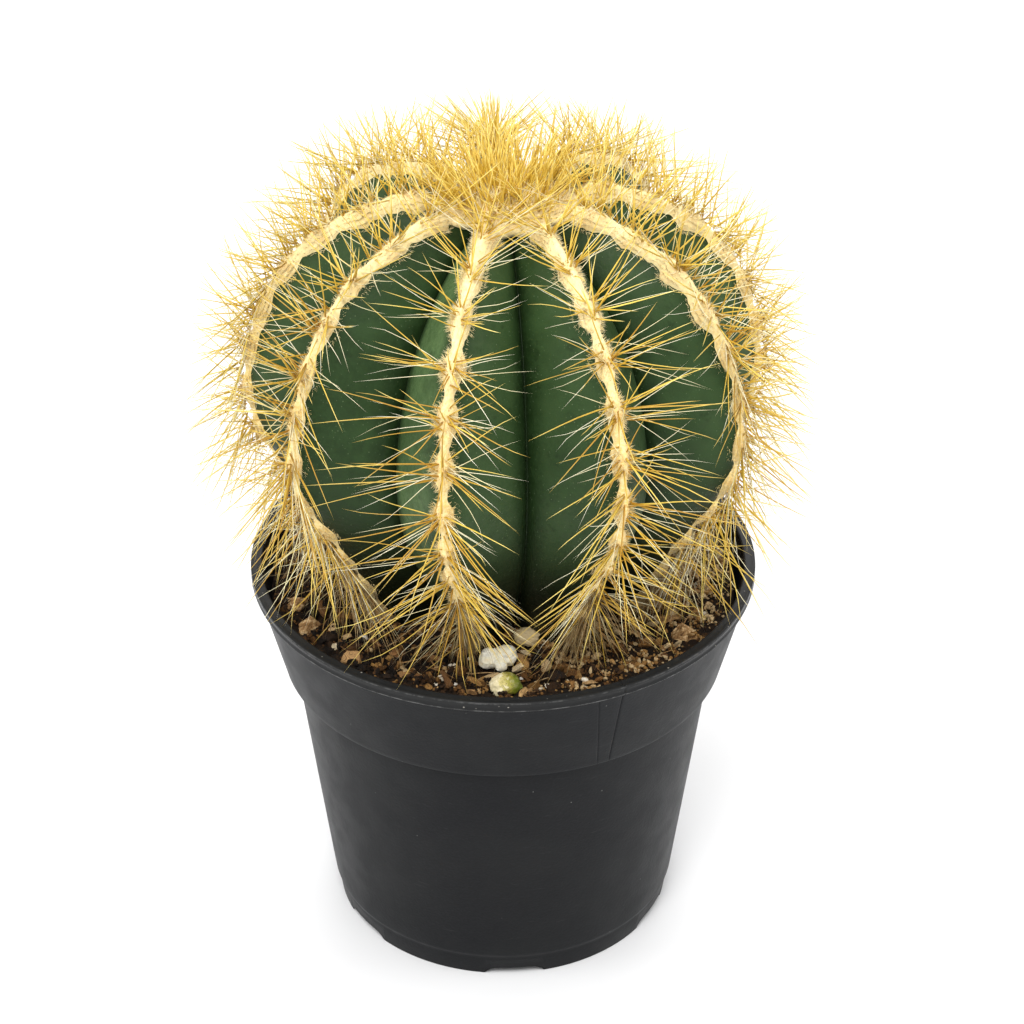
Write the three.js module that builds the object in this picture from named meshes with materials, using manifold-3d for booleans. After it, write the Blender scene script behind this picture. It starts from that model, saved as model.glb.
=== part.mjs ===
// Potted round cactus: a nine-ribbed globe with golden spines in a black nursery pot.
// Millimetres, +Z up, the origin at the middle of the pot's foot, -Y towards the front.

import * as THREE from "three";
import { mergeVertices } from "three/addons/utils/BufferGeometryUtils.js";
import Module from "manifold-3d";

const wasm = await Module();
wasm.setup();

// Driving dimensions of the pot
const rimRadius = 52.5;
const rimInnerRadius = 48.9;
const potHeight = 83.4;
const lipHeight = 1.5;
const collarBottomZ = 60.7;
const collarBottomRadius = 46.4;
const wallTopRadius = 44.1;
const footRadius = 35.7;
const footHeight = 4;
const wall = 1.2;
const floorUnderZ = 2.6;
const floorThickness = 1.2;
const potSides = 36;
const notchCount = 6;
const notchFirstDegrees = 4;
const notchWidth = 11.3;
const notchHeight = 2.4;
const drainHoleRadius = 3;
const drainHoleRing = 28;

// Driving dimensions of the potting mix
const clearance = 0.4;
const soilZ = 78;
const soilBump = 0.5;
const stemHoleFloorZ = 66.5;

// Driving dimensions of the plant, about an axis a little to the right of the pot's
const plantX = 0.5;
const ribDegrees = [-13.4, 25.8, 63, 98, 141.7, 185.6, 229.4, 273.2, 307.1];
const crestOutline = [
  [12, 67],
  [20, 71.5],
  [27.7, 77],
  [34, 88.5],
  [41.8, 102.5],
  [48.8, 114.5],
  [51.2, 126],
  [49.6, 138],
  [45, 149.6],
  [37.2, 159],
  [28, 164],
  [18, 167.2],
  [9, 166],
  [0, 163.5],
];
const valleyOutline = [
  [11, 67],
  [14.5, 71.5],
  [17.5, 77],
  [23.5, 86],
  [31, 96],
  [36.6, 107],
  [39.3, 120],
  [38, 133],
  [33.6, 145],
  [26.5, 154.2],
  [20, 159.8],
  [14, 162.8],
  [7, 163.4],
  [0, 163.5],
];
const flankBulge = 1.15;
const crestHalfWidth = 1.5;
const flankSteps = [0.36, 0.7, 1];
const skinRows = 19;
const globeCentreZ = 118;

// Driving dimensions of the wool and the spines
const areoleSpacing = 9.7;
const firstAreoleZ = 82.5;
const lastAreoleRadius = 15.5;
const woolGap = 0.35;
const areoleWool = { half: 2.3, height: 2.1 };
const bridgeWool = { half: 1.7, height: 1.4 };
const crownWoolRadius = 13.5;
const crownWoolRise = 3;
const crownNeedleCount = 90;
const spineSides = 3;
const sideSpine = { radius: 0.42, shortest: 9.5, longest: 14, lean: [62, 79] };
const centralSpine = { radius: 0.5, shortest: 11.5, longest: 18, lean: [10, 46] };
const crownSpine = { radius: 0.48, shortest: 10.5, longest: 17 };
const reach = 65;
const reachUp = 66;
const spineTries = 60;

// Loose grains on the potting mix: where they lie and their half sizes
const grains = [
  { name: "perlite_large", x: -1, y: -32.6, z: 79.6, half: [2.6, 2.3, 2.3], lobe: 2.4 },
  { name: "perlite_small", x: 5, y: -24.4, z: 78.9, half: [3, 1.9, 1.7] },
  { name: "pebble", x: 0.7, y: -41, z: 79.4, half: [3.5, 2.9, 2.6] },
  { name: "bark_1", x: -42.2, y: -11.4, z: 78.6, half: [3.4, 2.4, 1.7] },
  { name: "bark_2", x: -39.5, y: -18.4, z: 78.6, half: [2.6, 3, 1.6] },
  { name: "bark_3", x: 37, y: -22.2, z: 78.6, half: [3.2, 2.3, 1.6] },
];

const colours = {
  pot: 0x2b2c2e,
  mix: 0x3a2a1e,
  skin: 0x2f5a3d,
  spines: 0xe3bf62,
  perlite: 0xe8e2d4,
  pebble: 0xa8b060,
  bark: 0x8a6a45,
};

const radians = THREE.MathUtils.degToRad;
const lerp = THREE.MathUtils.lerp;

// A small seeded generator, so that the plant grows the same way every time.
function seeded(seed) {
  let state = seed;
  return () => {
    state = (state + 0x6d2b79f5) | 0;
    let t = Math.imul(state ^ (state >>> 15), 1 | state);
    t = (t + Math.imul(t ^ (t >>> 7), 61 | t)) ^ t;
    return ((t ^ (t >>> 14)) >>> 0) / 4294967296;
  };
}

function solidOf(geometry) {
  const plain = geometry.clone();
  plain.deleteAttribute("normal");
  plain.deleteAttribute("uv");
  const merged = mergeVertices(plain, 1e-4);
  return new wasm.Manifold(
    new wasm.Mesh({
      numProp: 3,
      vertProperties: new Float32Array(merged.attributes.position.array),
      triVerts: new Uint32Array(merged.index.array),
    }),
  );
}

function geometryOf(solid) {
  const mesh = solid.getMesh();
  const geometry = new THREE.BufferGeometry();
  geometry.setAttribute("position", new THREE.BufferAttribute(mesh.vertProperties, 3));
  geometry.setIndex(new THREE.BufferAttribute(mesh.triVerts, 1));
  return geometry;
}

function part(name, solid, color, roughness) {
  const material = new THREE.MeshStandardMaterial({ color, roughness, metalness: 0 });
  const mesh = new THREE.Mesh(geometryOf(solid), material);
  mesh.name = name;
  return mesh;
}

// A point at a distance from the pot's axis; azimuth 0 is the front, and it grows to the right.
function around(radius, degrees, z) {
  const a = radians(degrees);
  return new THREE.Vector3(radius * Math.sin(a), -radius * Math.cos(a), z);
}

function plantPoint(radius, degrees, z) {
  return around(Math.max(radius, 0), degrees, z).add(new THREE.Vector3(plantX, 0, 0));
}

function lathe(profile, sides) {
  const points = profile.map(([r, z]) => new THREE.Vector2(r, z));
  return new THREE.LatheGeometry(points, sides).rotateX(Math.PI / 2);
}

// A closed surface through rings of points from bottom to top, with a fan at each end.
function skinOver(rings, bottom, top) {
  const positions = [];
  const triangle = (a, b, c) => positions.push(...a, ...b, ...c);
  const count = rings[0].length;
  const last = rings[rings.length - 1];
  for (let j = 0; j < count; j++) {
    const k = (j + 1) % count;
    triangle(bottom, rings[0][k], rings[0][j]);
    for (let i = 0; i + 1 < rings.length; i++) {
      triangle(rings[i][j], rings[i][k], rings[i + 1][k]);
      triangle(rings[i][j], rings[i + 1][k], rings[i + 1][j]);
    }
    triangle(top, last[j], last[k]);
  }
  const geometry = new THREE.BufferGeometry();
  geometry.setAttribute("position", new THREE.Float32BufferAttribute(positions, 3));
  return geometry;
}

// The pot: foot ring with drain notches, raised floor with drain holes, tapered wall,
// wide collar, lip and crowned rim, in one moulding.
function makePot() {
  const profile = [
    [0, floorUnderZ],
    [footRadius - wall, floorUnderZ],
    [footRadius - wall, 0],
    [footRadius, 0],
    [footRadius + 0.5, footHeight - 0.1],
    [footRadius + 1, footHeight + 0.4],
    [wallTopRadius, collarBottomZ - 0.5],
    [collarBottomRadius - 0.3, collarBottomZ],
    [collarBottomRadius, collarBottomZ + 0.4],
    [rimRadius - 0.9, potHeight - lipHeight - 1],
    [rimRadius, potHeight - lipHeight - 0.5],
    [rimRadius, potHeight - 0.7],
    [rimRadius - 0.5, potHeight - 0.15],
    [rimRadius - 1.6, potHeight],
    [rimInnerRadius + 0.5, potHeight - 0.15],
    [rimInnerRadius, potHeight - 0.7],
    [collarBottomRadius - wall, collarBottomZ + 0.8],
    [wallTopRadius - wall, collarBottomZ - 1],
    [footRadius, floorUnderZ + floorThickness],
    [0, floorUnderZ + floorThickness],
  ];
  let pot = solidOf(lathe(profile, potSides));
  for (let i = 0; i < notchCount; i++) {
    const degrees = notchFirstDegrees + (i * 360) / notchCount;
    const at = around(footRadius, degrees, 0);
    const notch = new THREE.BoxGeometry(notchWidth, 8, notchHeight * 2)
      .rotateZ(radians(degrees))
      .translate(at.x, at.y, 0);
    const drain = new THREE.CylinderGeometry(drainHoleRadius, drainHoleRadius, 8, 12)
      .rotateX(Math.PI / 2)
      .translate(...around(drainHoleRing, degrees, floorUnderZ));
    pot = pot.subtract(solidOf(notch)).subtract(solidOf(drain));
  }
  return pot;
}

// The skin between the crest of a rib and the valley beside it: u runs from the root
// collar (0) to the middle of the crown (1), and across from the crest (0) to the valley (1).
const crestCurve = new THREE.SplineCurve(crestOutline.map((p) => new THREE.Vector2(...p)));
const valleyCurve = new THREE.SplineCurve(valleyOutline.map((p) => new THREE.Vector2(...p)));
const ribCount = ribDegrees.length;

// How far the valley on one side of a rib lies from its crest, in degrees and signed.
function halfTurn(rib, side) {
  const next = ribDegrees[(rib + side + ribCount) % ribCount];
  const turn = (((next - ribDegrees[rib]) * side) % 360 + 360) % 360;
  return (side * turn) / 2;
}

function profileAt(u, across) {
  const valley = valleyCurve.getPointAt(u);
  return crestCurve.getPointAt(u).lerp(valley, across ** flankBulge);
}

function skinPoint(rib, side, across, u) {
  const at = profileAt(u, across);
  return plantPoint(at.x, ribDegrees[rib] + halfTurn(rib, side) * across, at.y);
}

// The narrow flat along a crest, on which the wool grows, closes up in the crown.
function crestEdge(rib, side, u) {
  const crest = crestCurve.getPointAt(u);
  const turn = halfTurn(rib, side);
  const flat = THREE.MathUtils.radToDeg(crestHalfWidth / Math.max(crest.x, 1));
  const degrees = Math.min(flat, Math.abs(turn) * flankSteps[0] * 0.6) * side;
  return plantPoint(crest.x, ribDegrees[rib] + degrees, crest.y);
}

function skinRing(u) {
  return ribDegrees.flatMap((_, rib) => [
    skinPoint(rib, -1, flankSteps[1], u),
    skinPoint(rib, -1, flankSteps[0], u),
    crestEdge(rib, -1, u),
    crestEdge(rib, 1, u),
    skinPoint(rib, 1, flankSteps[0], u),
    skinPoint(rib, 1, flankSteps[1], u),
    skinPoint(rib, 1, flankSteps[2], u),
  ]);
}

function makeBody() {
  const rings = [];
  for (let row = 0; row < skinRows; row++) {
    rings.push(skinRing((row / skinRows) * 0.98));
  }
  const bottom = plantPoint(0, 0, crestOutline[0][1]);
  const top = plantPoint(0, 0, crestOutline[crestOutline.length - 1][1]);
  return solidOf(skinOver(rings, bottom, top));
}

// The plain hole that the plant stands in has the outline of its widest buried section.
function stemHole() {
  const rings = [];
  for (let u = 0; profileAt(u, 0).y < soilZ + 3; u += 0.01) {
    rings.push(skinRing(u).filter((_, i) => i % 7 !== 0 && i % 7 !== 5));
  }
  const outline = rings[0].map((_, i) => {
    const buried = rings.map((ring) => ring[i]).filter((p) => p.z < soilZ + 1.2);
    const widest = buried.reduce((a, b) => (a.length() > b.length() ? a : b));
    const fromAxis = new THREE.Vector2(widest.x - plantX, widest.y);
    fromAxis.setLength(fromAxis.length() + clearance + 0.1);
    return fromAxis.add(new THREE.Vector2(plantX, 0));
  });
  const hole = new THREE.ExtrudeGeometry(new THREE.Shape(outline), {
    depth: soilZ + 10 - stemHoleFloorZ,
    bevelEnabled: false,
  });
  return solidOf(hole.translate(0, 0, stemHoleFloorZ));
}

function soilHeight(x, y) {
  const waves = Math.sin(0.41 * x + 1) * Math.cos(0.37 * y) + Math.sin(0.19 * y - 0.23 * x);
  return soilZ + soilBump * waves;
}

function grainSolid(grain, grow) {
  const [hx, hy, hz] = grain.half.map((h) => h + grow);
  const blob = new THREE.IcosahedronGeometry(1, 1);
  const at = blob.attributes.position;
  for (let i = 0; i < at.count; i++) {
    const v = new THREE.Vector3().fromBufferAttribute(at, i);
    v.multiplyScalar(1 + 0.09 * Math.sin(4 * v.x + grain.x) * Math.cos(3 * v.y + 5 * v.z));
    at.setXYZ(i, v.x, v.y, v.z);
  }
  blob.scale(hx, hy, hz).translate(grain.x, grain.y, grain.z);
  if (!grain.lobe) {
    return solidOf(blob);
  }
  const left = solidOf(blob.clone().translate(-grain.lobe / 1.7, -0.4, 0));
  return left.add(solidOf(blob.translate(grain.lobe / 1.7, 0.5, 0)));
}

// The potting mix fills the pot to just under its rim, is rough on top, and has dents
// where the loose grains lie.
function makeSoil() {
  const ring = (radius, z) =>
    Array.from({ length: potSides }, (_, i) => {
      const p = around(radius, (i * 360) / potSides, 0);
      p.z = z ?? soilHeight(p.x, p.y);
      return p;
    });
  const floorZ = floorUnderZ + floorThickness + 0.3;
  const innerSlope = (rimInnerRadius - collarBottomRadius + wall) / (potHeight - collarBottomZ - 1.5);
  const topRadius = rimInnerRadius - clearance - innerSlope * (potHeight - 0.7 - soilZ);
  const rings = [
    ring(footRadius - clearance, floorZ),
    ring(wallTopRadius - wall - clearance, collarBottomZ - 1),
    ring(collarBottomRadius - wall - clearance, collarBottomZ + 0.8),
    ring(topRadius, soilZ - 0.8),
    ring(topRadius - 2),
    ring(topRadius - 8),
    ring(topRadius - 16),
  ];
  const bottom = new THREE.Vector3(0, 0, floorZ);
  const top = new THREE.Vector3(0, 0, soilZ);
  const soil = solidOf(skinOver(rings, bottom, top)).subtract(stemHole());
  return grains.reduce((left, grain) => left.subtract(grainSolid(grain, 0.3)), soil);
}

// The frame of a crest at u: the point, the way up along it, the way out and the way round.
function crestFrame(rib, u) {
  const at = crestCurve.getPointAt(u);
  const way = crestCurve.getTangentAt(u);
  const a = radians(ribDegrees[rib]);
  const radial = new THREE.Vector3(Math.sin(a), -Math.cos(a), 0);
  const up = new THREE.Vector3(0, 0, 1);
  return {
    point: plantPoint(at.x, ribDegrees[rib], at.y),
    along: radial.clone().multiplyScalar(way.x).addScaledVector(up, way.y),
    out: radial.clone().multiplyScalar(way.y).addScaledVector(up, -way.x),
    round: new THREE.Vector3(Math.cos(a), Math.sin(a), 0),
  };
}

function inFrame(frame, round, along, out) {
  return frame.point
    .clone()
    .addScaledVector(frame.round, round)
    .addScaledVector(frame.along, along)
    .addScaledVector(frame.out, out);
}

// The areoles sit along a crest at even spacing, the same on every rib.
function areolePlaces() {
  const length = crestCurve.getLength();
  let first = 0;
  while (crestCurve.getPointAt(first).y < firstAreoleZ) {
    first += 0.001;
  }
  const places = [];
  const step = areoleSpacing / length;
  for (let u = first; u < 0.5 || crestCurve.getPointAt(u).x > lastAreoleRadius; u += step) {
    places.push(u);
  }
  return places;
}
const areoles = areolePlaces();

// The cream wool of a rib: a strip that swells at each areole and narrows between them.
function woolStrip(rib) {
  const stations = [];
  areoles.forEach((u, i) => {
    stations.push([u, areoleWool]);
    if (i + 1 < areoles.length) {
      stations.push([(u + areoles[i + 1]) / 2, bridgeWool]);
    }
  });
  const endTaper = { half: 1.2, height: 0.9 };
  const step = (areoles[1] - areoles[0]) * 0.25;
  stations.unshift([areoles[0] - step, endTaper]);
  stations.push([areoles[areoles.length - 1] + step, endTaper]);
  const rings = stations.map(([u, wool]) => {
    const frame = crestFrame(rib, u);
    const inner = Math.min(crestHalfWidth - 0.1, wool.half - 0.2);
    return [
      inFrame(frame, -inner, 0, woolGap),
      inFrame(frame, -wool.half, 0, woolGap + wool.height),
      inFrame(frame, wool.half, 0, woolGap + wool.height),
      inFrame(frame, inner, 0, woolGap),
    ];
  });
  const middle = (ring) => ring[0].clone().lerp(ring[2], 0.5);
  return solidOf(skinOver(rings, middle(rings[0]), middle(rings[rings.length - 1])));
}

// How far a point stands off the skin, measured from the middle of the globe.
function offSkin(point) {
  const x = point.x - plantX;
  const radius = Math.hypot(x, point.y);
  const degrees = THREE.MathUtils.radToDeg(Math.atan2(x, -point.y));
  let nearest = { across: 2 };
  for (let rib = 0; rib < ribCount; rib++) {
    const turn = ((degrees - ribDegrees[rib] + 540) % 360) - 180;
    const across = Math.abs(turn / halfTurn(rib, Math.sign(turn) || 1));
    if (across < nearest.across) {
      nearest = { across };
    }
  }
  const across = Math.min(nearest.across, 1);
  const angle = Math.atan2(point.z - globeCentreZ, radius);
  let low = 0;
  let high = 1;
  for (let i = 0; i < 12; i++) {
    const u = (low + high) / 2;
    const at = profileAt(u, across);
    if (Math.atan2(at.y - globeCentreZ, at.x) < angle) {
      low = u;
    } else {
      high = u;
    }
  }
  const skin = profileAt(low, across);
  return Math.hypot(radius, point.z - globeCentreZ) - Math.hypot(skin.x, skin.y - globeCentreZ);
}

// The shortest distance between two spines, from their roots to their tips.
function spineGap(a, b) {
  const d1 = a.tip.clone().sub(a.root);
  const d2 = b.tip.clone().sub(b.root);
  const r = a.root.clone().sub(b.root);
  const aa = d1.dot(d1);
  const bb = d2.dot(d2);
  const ab = d1.dot(d2);
  const c = d1.dot(r);
  const f = d2.dot(r);
  const clamp = (x) => THREE.MathUtils.clamp(x, 0, 1);
  const denominator = aa * bb - ab * ab;
  let s = denominator > 1e-6 ? clamp((ab * f - c * bb) / denominator) : 0;
  const t = clamp((ab * s + f) / bb);
  s = clamp((ab * t - c) / aa);
  return a.root.clone().addScaledVector(d1, s).distanceTo(b.root.clone().addScaledVector(d2, t));
}

// Every spine that has found room, with the node and the areole that it belongs to.
const grown = [];
const areoleCentres = ribDegrees.flatMap((_, rib) =>
  areoles.map((u) => ({ node: rib, point: inFrame(crestFrame(rib, u), 0, 0, 1) })),
);

function hasRoom(spine) {
  for (let i = 1; i <= 6; i++) {
    const t = i / 6;
    const p = spine.root.clone().lerp(spine.tip, t);
    const fromPot = Math.hypot(p.x, p.y);
    if (p.z < soilZ + 1.9) {
      return false;
    }
    if (fromPot > rimInnerRadius - 1.6 && fromPot < rimRadius + 1.5 && p.z < potHeight + 1.2) {
      return false;
    }
    if (t > 0.3 && offSkin(p) < 0.9) {
      return false;
    }
    for (const grain of grains) {
      const off = p.distanceTo(new THREE.Vector3(grain.x, grain.y, grain.z));
      if (off < Math.max(...grain.half) + (grain.lobe ?? 0) + 0.7) {
        return false;
      }
    }
    for (const centre of areoleCentres) {
      if (centre.node !== spine.node && centre.point.distanceTo(p) < 4.2) {
        return false;
      }
    }
  }
  return grown.every((other) => {
    if (other.node === spine.node && other.areole === spine.areole) {
      return other.tip.distanceTo(spine.tip) > 2.2;
    }
    const apart = other.node === spine.node ? 0.95 : 1.35;
    return spineGap(spine, other) > apart;
  });
}

// A spine that would stand out past the plant's rounded outline ends at it.
function cutToReach(root, tip) {
  const squash = new THREE.Vector3(1 / reach, 1 / reach, 1 / reachUp);
  const from = root.clone().sub(plantPoint(0, 0, globeCentreZ)).multiply(squash);
  const way = tip.clone().sub(root).multiply(squash);
  const a = way.lengthSq();
  const b = from.dot(way);
  const past = (Math.sqrt(b * b - a * (from.lengthSq() - 1)) - b) / a;
  return root.clone().lerp(tip, Math.min(1, past));
}

function grow(node, areole, radius, draw) {
  for (let attempt = 0; attempt < spineTries; attempt++) {
    const { root, way, length } = draw(attempt);
    const tip = cutToReach(root, root.clone().addScaledVector(way, length));
    const spine = { node, areole, root, tip, radius };
    if (hasRoom(spine)) {
      grown.push(spine);
      return;
    }
  }
}

// The spines of a rib: a fan to each side of every areole and two that stand out of it.
// Low on the globe they droop, and high on it they lift.
function growRib(rib) {
  const random = seeded(100 + rib);
  const between = (low, high) => lerp(low, high, random());
  areoles.forEach((u, areole) => {
    const frame = crestFrame(rib, u);
    const lift = lerp(-0.55, 0.4, areole / (areoles.length - 1));
    const draw = (kind, turn, spread) => (attempt) => {
      const lean = radians(between(...kind.lean) - attempt * 0.25);
      const bearing = radians(turn + between(-spread, spread) * (1 + attempt / 20));
      const way = frame.out
        .clone()
        .multiplyScalar(Math.cos(lean))
        .addScaledVector(frame.round, Math.cos(bearing) * Math.sin(lean))
        .addScaledVector(frame.along, Math.sin(bearing) * Math.sin(lean) + lift * 0.35)
        .normalize();
      const root = inFrame(frame, Math.cos(bearing) * 0.9, Math.sin(bearing) * 0.9, woolGap + 0.9);
      const length = between(kind.shortest, kind.longest) * (1 - attempt * 0.006);
      return { root, way, length };
    };
    for (const turn of [0, 180, 38, 142, -38, 218]) {
      grow(rib, areole, sideSpine.radius, draw(sideSpine, turn, 12));
    }
    const centrals = areole % 2 ? [90, -90] : [-90];
    for (const turn of centrals) {
      grow(rib, areole, centralSpine.radius, draw(centralSpine, turn, 50));
    }
  });
}

const crownNode = ribCount;

function crownWool() {
  const crownZ = crestOutline[crestOutline.length - 1][1];
  const edgeZ = crownZ + 3.8;
  const sides = 18;
  const ring = (radius, z) =>
    Array.from({ length: sides }, (_, i) => plantPoint(radius, (i * 360) / sides, z));
  const rings = [
    ring(crownWoolRadius, edgeZ),
    ring(crownWoolRadius - 1, edgeZ + 1),
    ring(crownWoolRadius * 0.55, edgeZ + crownWoolRise * 0.8),
  ];
  const bottom = plantPoint(0, 0, crownZ + 0.9);
  return solidOf(skinOver(rings, bottom, plantPoint(0, 0, edgeZ + crownWoolRise)));
}

// The crown tuft: spines spread evenly over the wool, upright in the middle and leaning
// out at its edge.
function growCrown() {
  const random = seeded(7);
  const crownZ = crestOutline[crestOutline.length - 1][1];
  const goldenTurn = 137.508;
  for (let i = 0; i < crownNeedleCount; i++) {
    const share = Math.sqrt((i + 0.5) / crownNeedleCount);
    const draw = (attempt) => {
      const degrees = i * goldenTurn + lerp(-8, 8, random());
      const lean = radians(share * 52 + lerp(-9, 9, random()) * (1 + attempt / 25));
      const a = around(1, degrees + lerp(-15, 15, random()), 0);
      const way = a.multiplyScalar(Math.sin(lean)).add(new THREE.Vector3(0, 0, Math.cos(lean)));
      const rootZ = crownZ + lerp(5.7, 4.4, share);
      return {
        root: plantPoint(share * (crownWoolRadius - 1.3), degrees, rootZ),
        way,
        length: lerp(crownSpine.shortest, crownSpine.longest, random()),
      };
    };
    grow(crownNode, i, crownSpine.radius, draw);
  }
}

function needle({ root, tip, radius }) {
  const length = root.distanceTo(tip);
  const cone = new THREE.ConeGeometry(radius, length, spineSides).translate(0, length / 2, 0);
  const way = tip.clone().sub(root).normalize();
  const turn = new THREE.Quaternion().setFromUnitVectors(new THREE.Vector3(0, 1, 0), way);
  return solidOf(cone.applyQuaternion(turn).translate(...root));
}

function withSpines(wool, node) {
  const mine = grown.filter((spine) => spine.node === node);
  return mine.reduce((solid, spine) => solid.add(needle(spine)), wool);
}

growCrown();
ribDegrees.forEach((_, rib) => growRib(rib));

const group = new THREE.Group();
group.add(part("pot", makePot(), colours.pot, 0.45));
group.add(part("potting_mix", makeSoil(), colours.mix, 0.95));
group.add(part("cactus_body", makeBody(), colours.skin, 0.5));
ribDegrees.forEach((_, rib) => {
  const solid = withSpines(woolStrip(rib), rib);
  group.add(part(`rib_spines_${rib + 1}`, solid, colours.spines, 0.6));
});
group.add(part("crown_spines", withSpines(crownWool(), crownNode), colours.spines, 0.6));
grains.forEach((grain) => {
  const colour = colours[grain.name.split("_")[0]];
  group.add(part(grain.name, grainSolid(grain, 0), colour, 0.9));
});

export default group;
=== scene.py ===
"""A nine-ribbed globe cactus with golden spines in a black nursery pot, dressed over its CAD frame.

Shapes are worked out in millimetres, +Z up, -Y towards the front, and written in metres.
"""

import itertools
import math

import bpy
import numpy as np
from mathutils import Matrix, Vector


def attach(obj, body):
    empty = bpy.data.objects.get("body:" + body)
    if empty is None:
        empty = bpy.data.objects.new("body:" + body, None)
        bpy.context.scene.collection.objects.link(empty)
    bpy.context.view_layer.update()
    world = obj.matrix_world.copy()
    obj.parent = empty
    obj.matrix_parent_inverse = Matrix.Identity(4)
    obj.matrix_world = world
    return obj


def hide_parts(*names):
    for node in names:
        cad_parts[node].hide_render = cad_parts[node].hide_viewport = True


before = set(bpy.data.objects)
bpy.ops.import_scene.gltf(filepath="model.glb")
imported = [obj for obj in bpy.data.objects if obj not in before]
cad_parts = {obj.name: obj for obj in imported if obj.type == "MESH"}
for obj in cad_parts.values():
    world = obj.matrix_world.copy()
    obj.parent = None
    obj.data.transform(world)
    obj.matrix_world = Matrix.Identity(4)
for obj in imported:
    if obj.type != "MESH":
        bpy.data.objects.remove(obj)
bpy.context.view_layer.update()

MM = 0.001

# The plant, as in the solids: an axis a little to the right of the pot's, the ribs' directions
# in degrees from the front, and the outlines (radius, height) of a crest and of a valley.
PLANT_X = 0.5
RIBS = [-13.4, 25.8, 63, 98, 141.7, 185.6, 229.4, 273.2, 307.1]
CREST = [
    (12, 67), (20, 71.5), (27.7, 77), (34, 88.5), (41.8, 102.5), (48.8, 114.5), (51.2, 126),
    (49.6, 138), (45, 149.6), (37.2, 159), (28, 164), (18, 167.2), (9, 166), (0, 163.5),
]
VALLEY = [
    (11, 67), (14.5, 71.5), (17.5, 77), (23.5, 86), (31, 96), (36.6, 107), (39.3, 120),
    (38, 133), (33.6, 145), (26.5, 154.2), (20, 159.8), (14, 162.8), (7, 163.4), (0, 163.5),
]
FLANK_BULGE = 1.15
# How much paler each rib's flanks are painted, before and after its crest: partly the skin's pale bloom,
# partly painted light on the flanks that the lamps light
BLOOM_AND_LIGHT = [
    (1.0, 0.42), (0.3, 0.22), (0.25, 0.6), (0.5, 0.5), (0.5, 0.6), (0.6, 0.5), (0.5, 0.55), (0.5, 0.4),
    (0.55, 0.08),
]
CREST_ROUNDING = 0.05
GLOBE_Z = 118
# No spine goes past a rounded box about the globe's middle, this far out and up.
REACH, REACH_UP = 65.9, 66.2
AREOLE_SPACING = 9.7
FIRST_AREOLE_Z = 82.5
LAST_AREOLE_R = 15.5
CROWN_WOOL_R = 14.6
SOIL_Z = 78
RIM_R, RIM_INNER_R, POT_HEIGHT = 52.5, 50.1, 83.4
# Rows of the pot's profile with worn edges and painted highlight lines: the lip's top and the foot of the
# rim's bead
WORN_AND_LIT_TOP, WORN_AND_LIT_FOOT = 61, 55
# The two parting lines of the pot's collar, in degrees from the front
PARTING_LINES = (22.75, 27.3)
HOLE_SIDES = 28
# Where the larger loose grains lie, which litter keeps clear of: x, y, radius
GRAINS = [(-1, -32.6, 4.4), (5, -24.4, 3.0), (0.7, -41, 3.9), (-42.2, -11.4, 3.2)]
GRAINS += [(-39.5, -18.4, 2.9), (37, -22.2, 3.1)]
WOOL_HAIRS, CROWN_HAIRS, SKIRT_HAIRS = 5600, 5200, 44
SHORTEST_SPINE = 3.5


def tint(value):
    """A shader's colour: a grey level, three 0-255 screen values made linear, or as it is."""
    if isinstance(value, (int, float)):
        return (value, value, value, 1)
    if isinstance(value, tuple) and len(value) == 3:
        c = np.array(value, float) / 255
        return (*np.where(c < 0.04045, c / 12.92, ((c + 0.055) / 1.055) ** 2.4), 1.0)
    return value


def field(points, size, seed):
    """A smooth random field from -1 to 1 that varies over about size millimetres."""
    q = np.asarray(points, float) / size + 37.7 * seed
    cell = np.floor(q).astype(np.int64)
    f = q - cell
    f = f * f * (3 - 2 * f)
    total = np.zeros(q.shape[:-1])
    for corner in itertools.product((0, 1), repeat=3):
        c = cell + np.array(corner)
        h = (c[..., 0] * 73856093) ^ (c[..., 1] * 19349663) ^ (c[..., 2] * 83492791)
        h = (h ^ (h >> 13)) * 1274126177
        value = ((h ^ (h >> 16)) & 0xFFFFFF) / 0x7FFFFF - 1
        total += np.prod(np.where(corner, f, 1 - f), -1) * value
    return total


def smoothstep(low, high, x):
    t = np.clip((np.asarray(x, float) - low) / (high - low), 0, 1)
    return t * t * (3 - 2 * t)


def unit(v):
    return v / np.maximum(np.linalg.norm(v, axis=-1, keepdims=True), 1e-12)


# Meshes


class Shape:
    """Points in millimetres with their faces, and two numbers at each point, which the
    materials read as the attributes "along" and "tone"."""

    def __init__(self, points, quads=(), tris=(), along=None, tone=None):
        self.points = np.asarray(points, float).reshape(-1, 3)
        self.quads = np.asarray(quads, np.int64).reshape(-1, 4)
        self.tris = np.asarray(tris, np.int64).reshape(-1, 3)
        count = len(self.points)
        self.along = np.zeros(count) if along is None else np.broadcast_to(along, count)
        self.tone = np.zeros(count) if tone is None else np.broadcast_to(tone, count)


def joined(shapes):
    """Several shapes as one."""
    starts = np.cumsum([0] + [len(s.points) for s in shapes[:-1]])
    return Shape(
        np.concatenate([s.points for s in shapes]),
        np.concatenate([s.quads + k for s, k in zip(shapes, starts)]),
        np.concatenate([s.tris + k for s, k in zip(shapes, starts)]),
        np.concatenate([s.along for s in shapes]),
        np.concatenate([s.tone for s in shapes]),
    )


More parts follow.
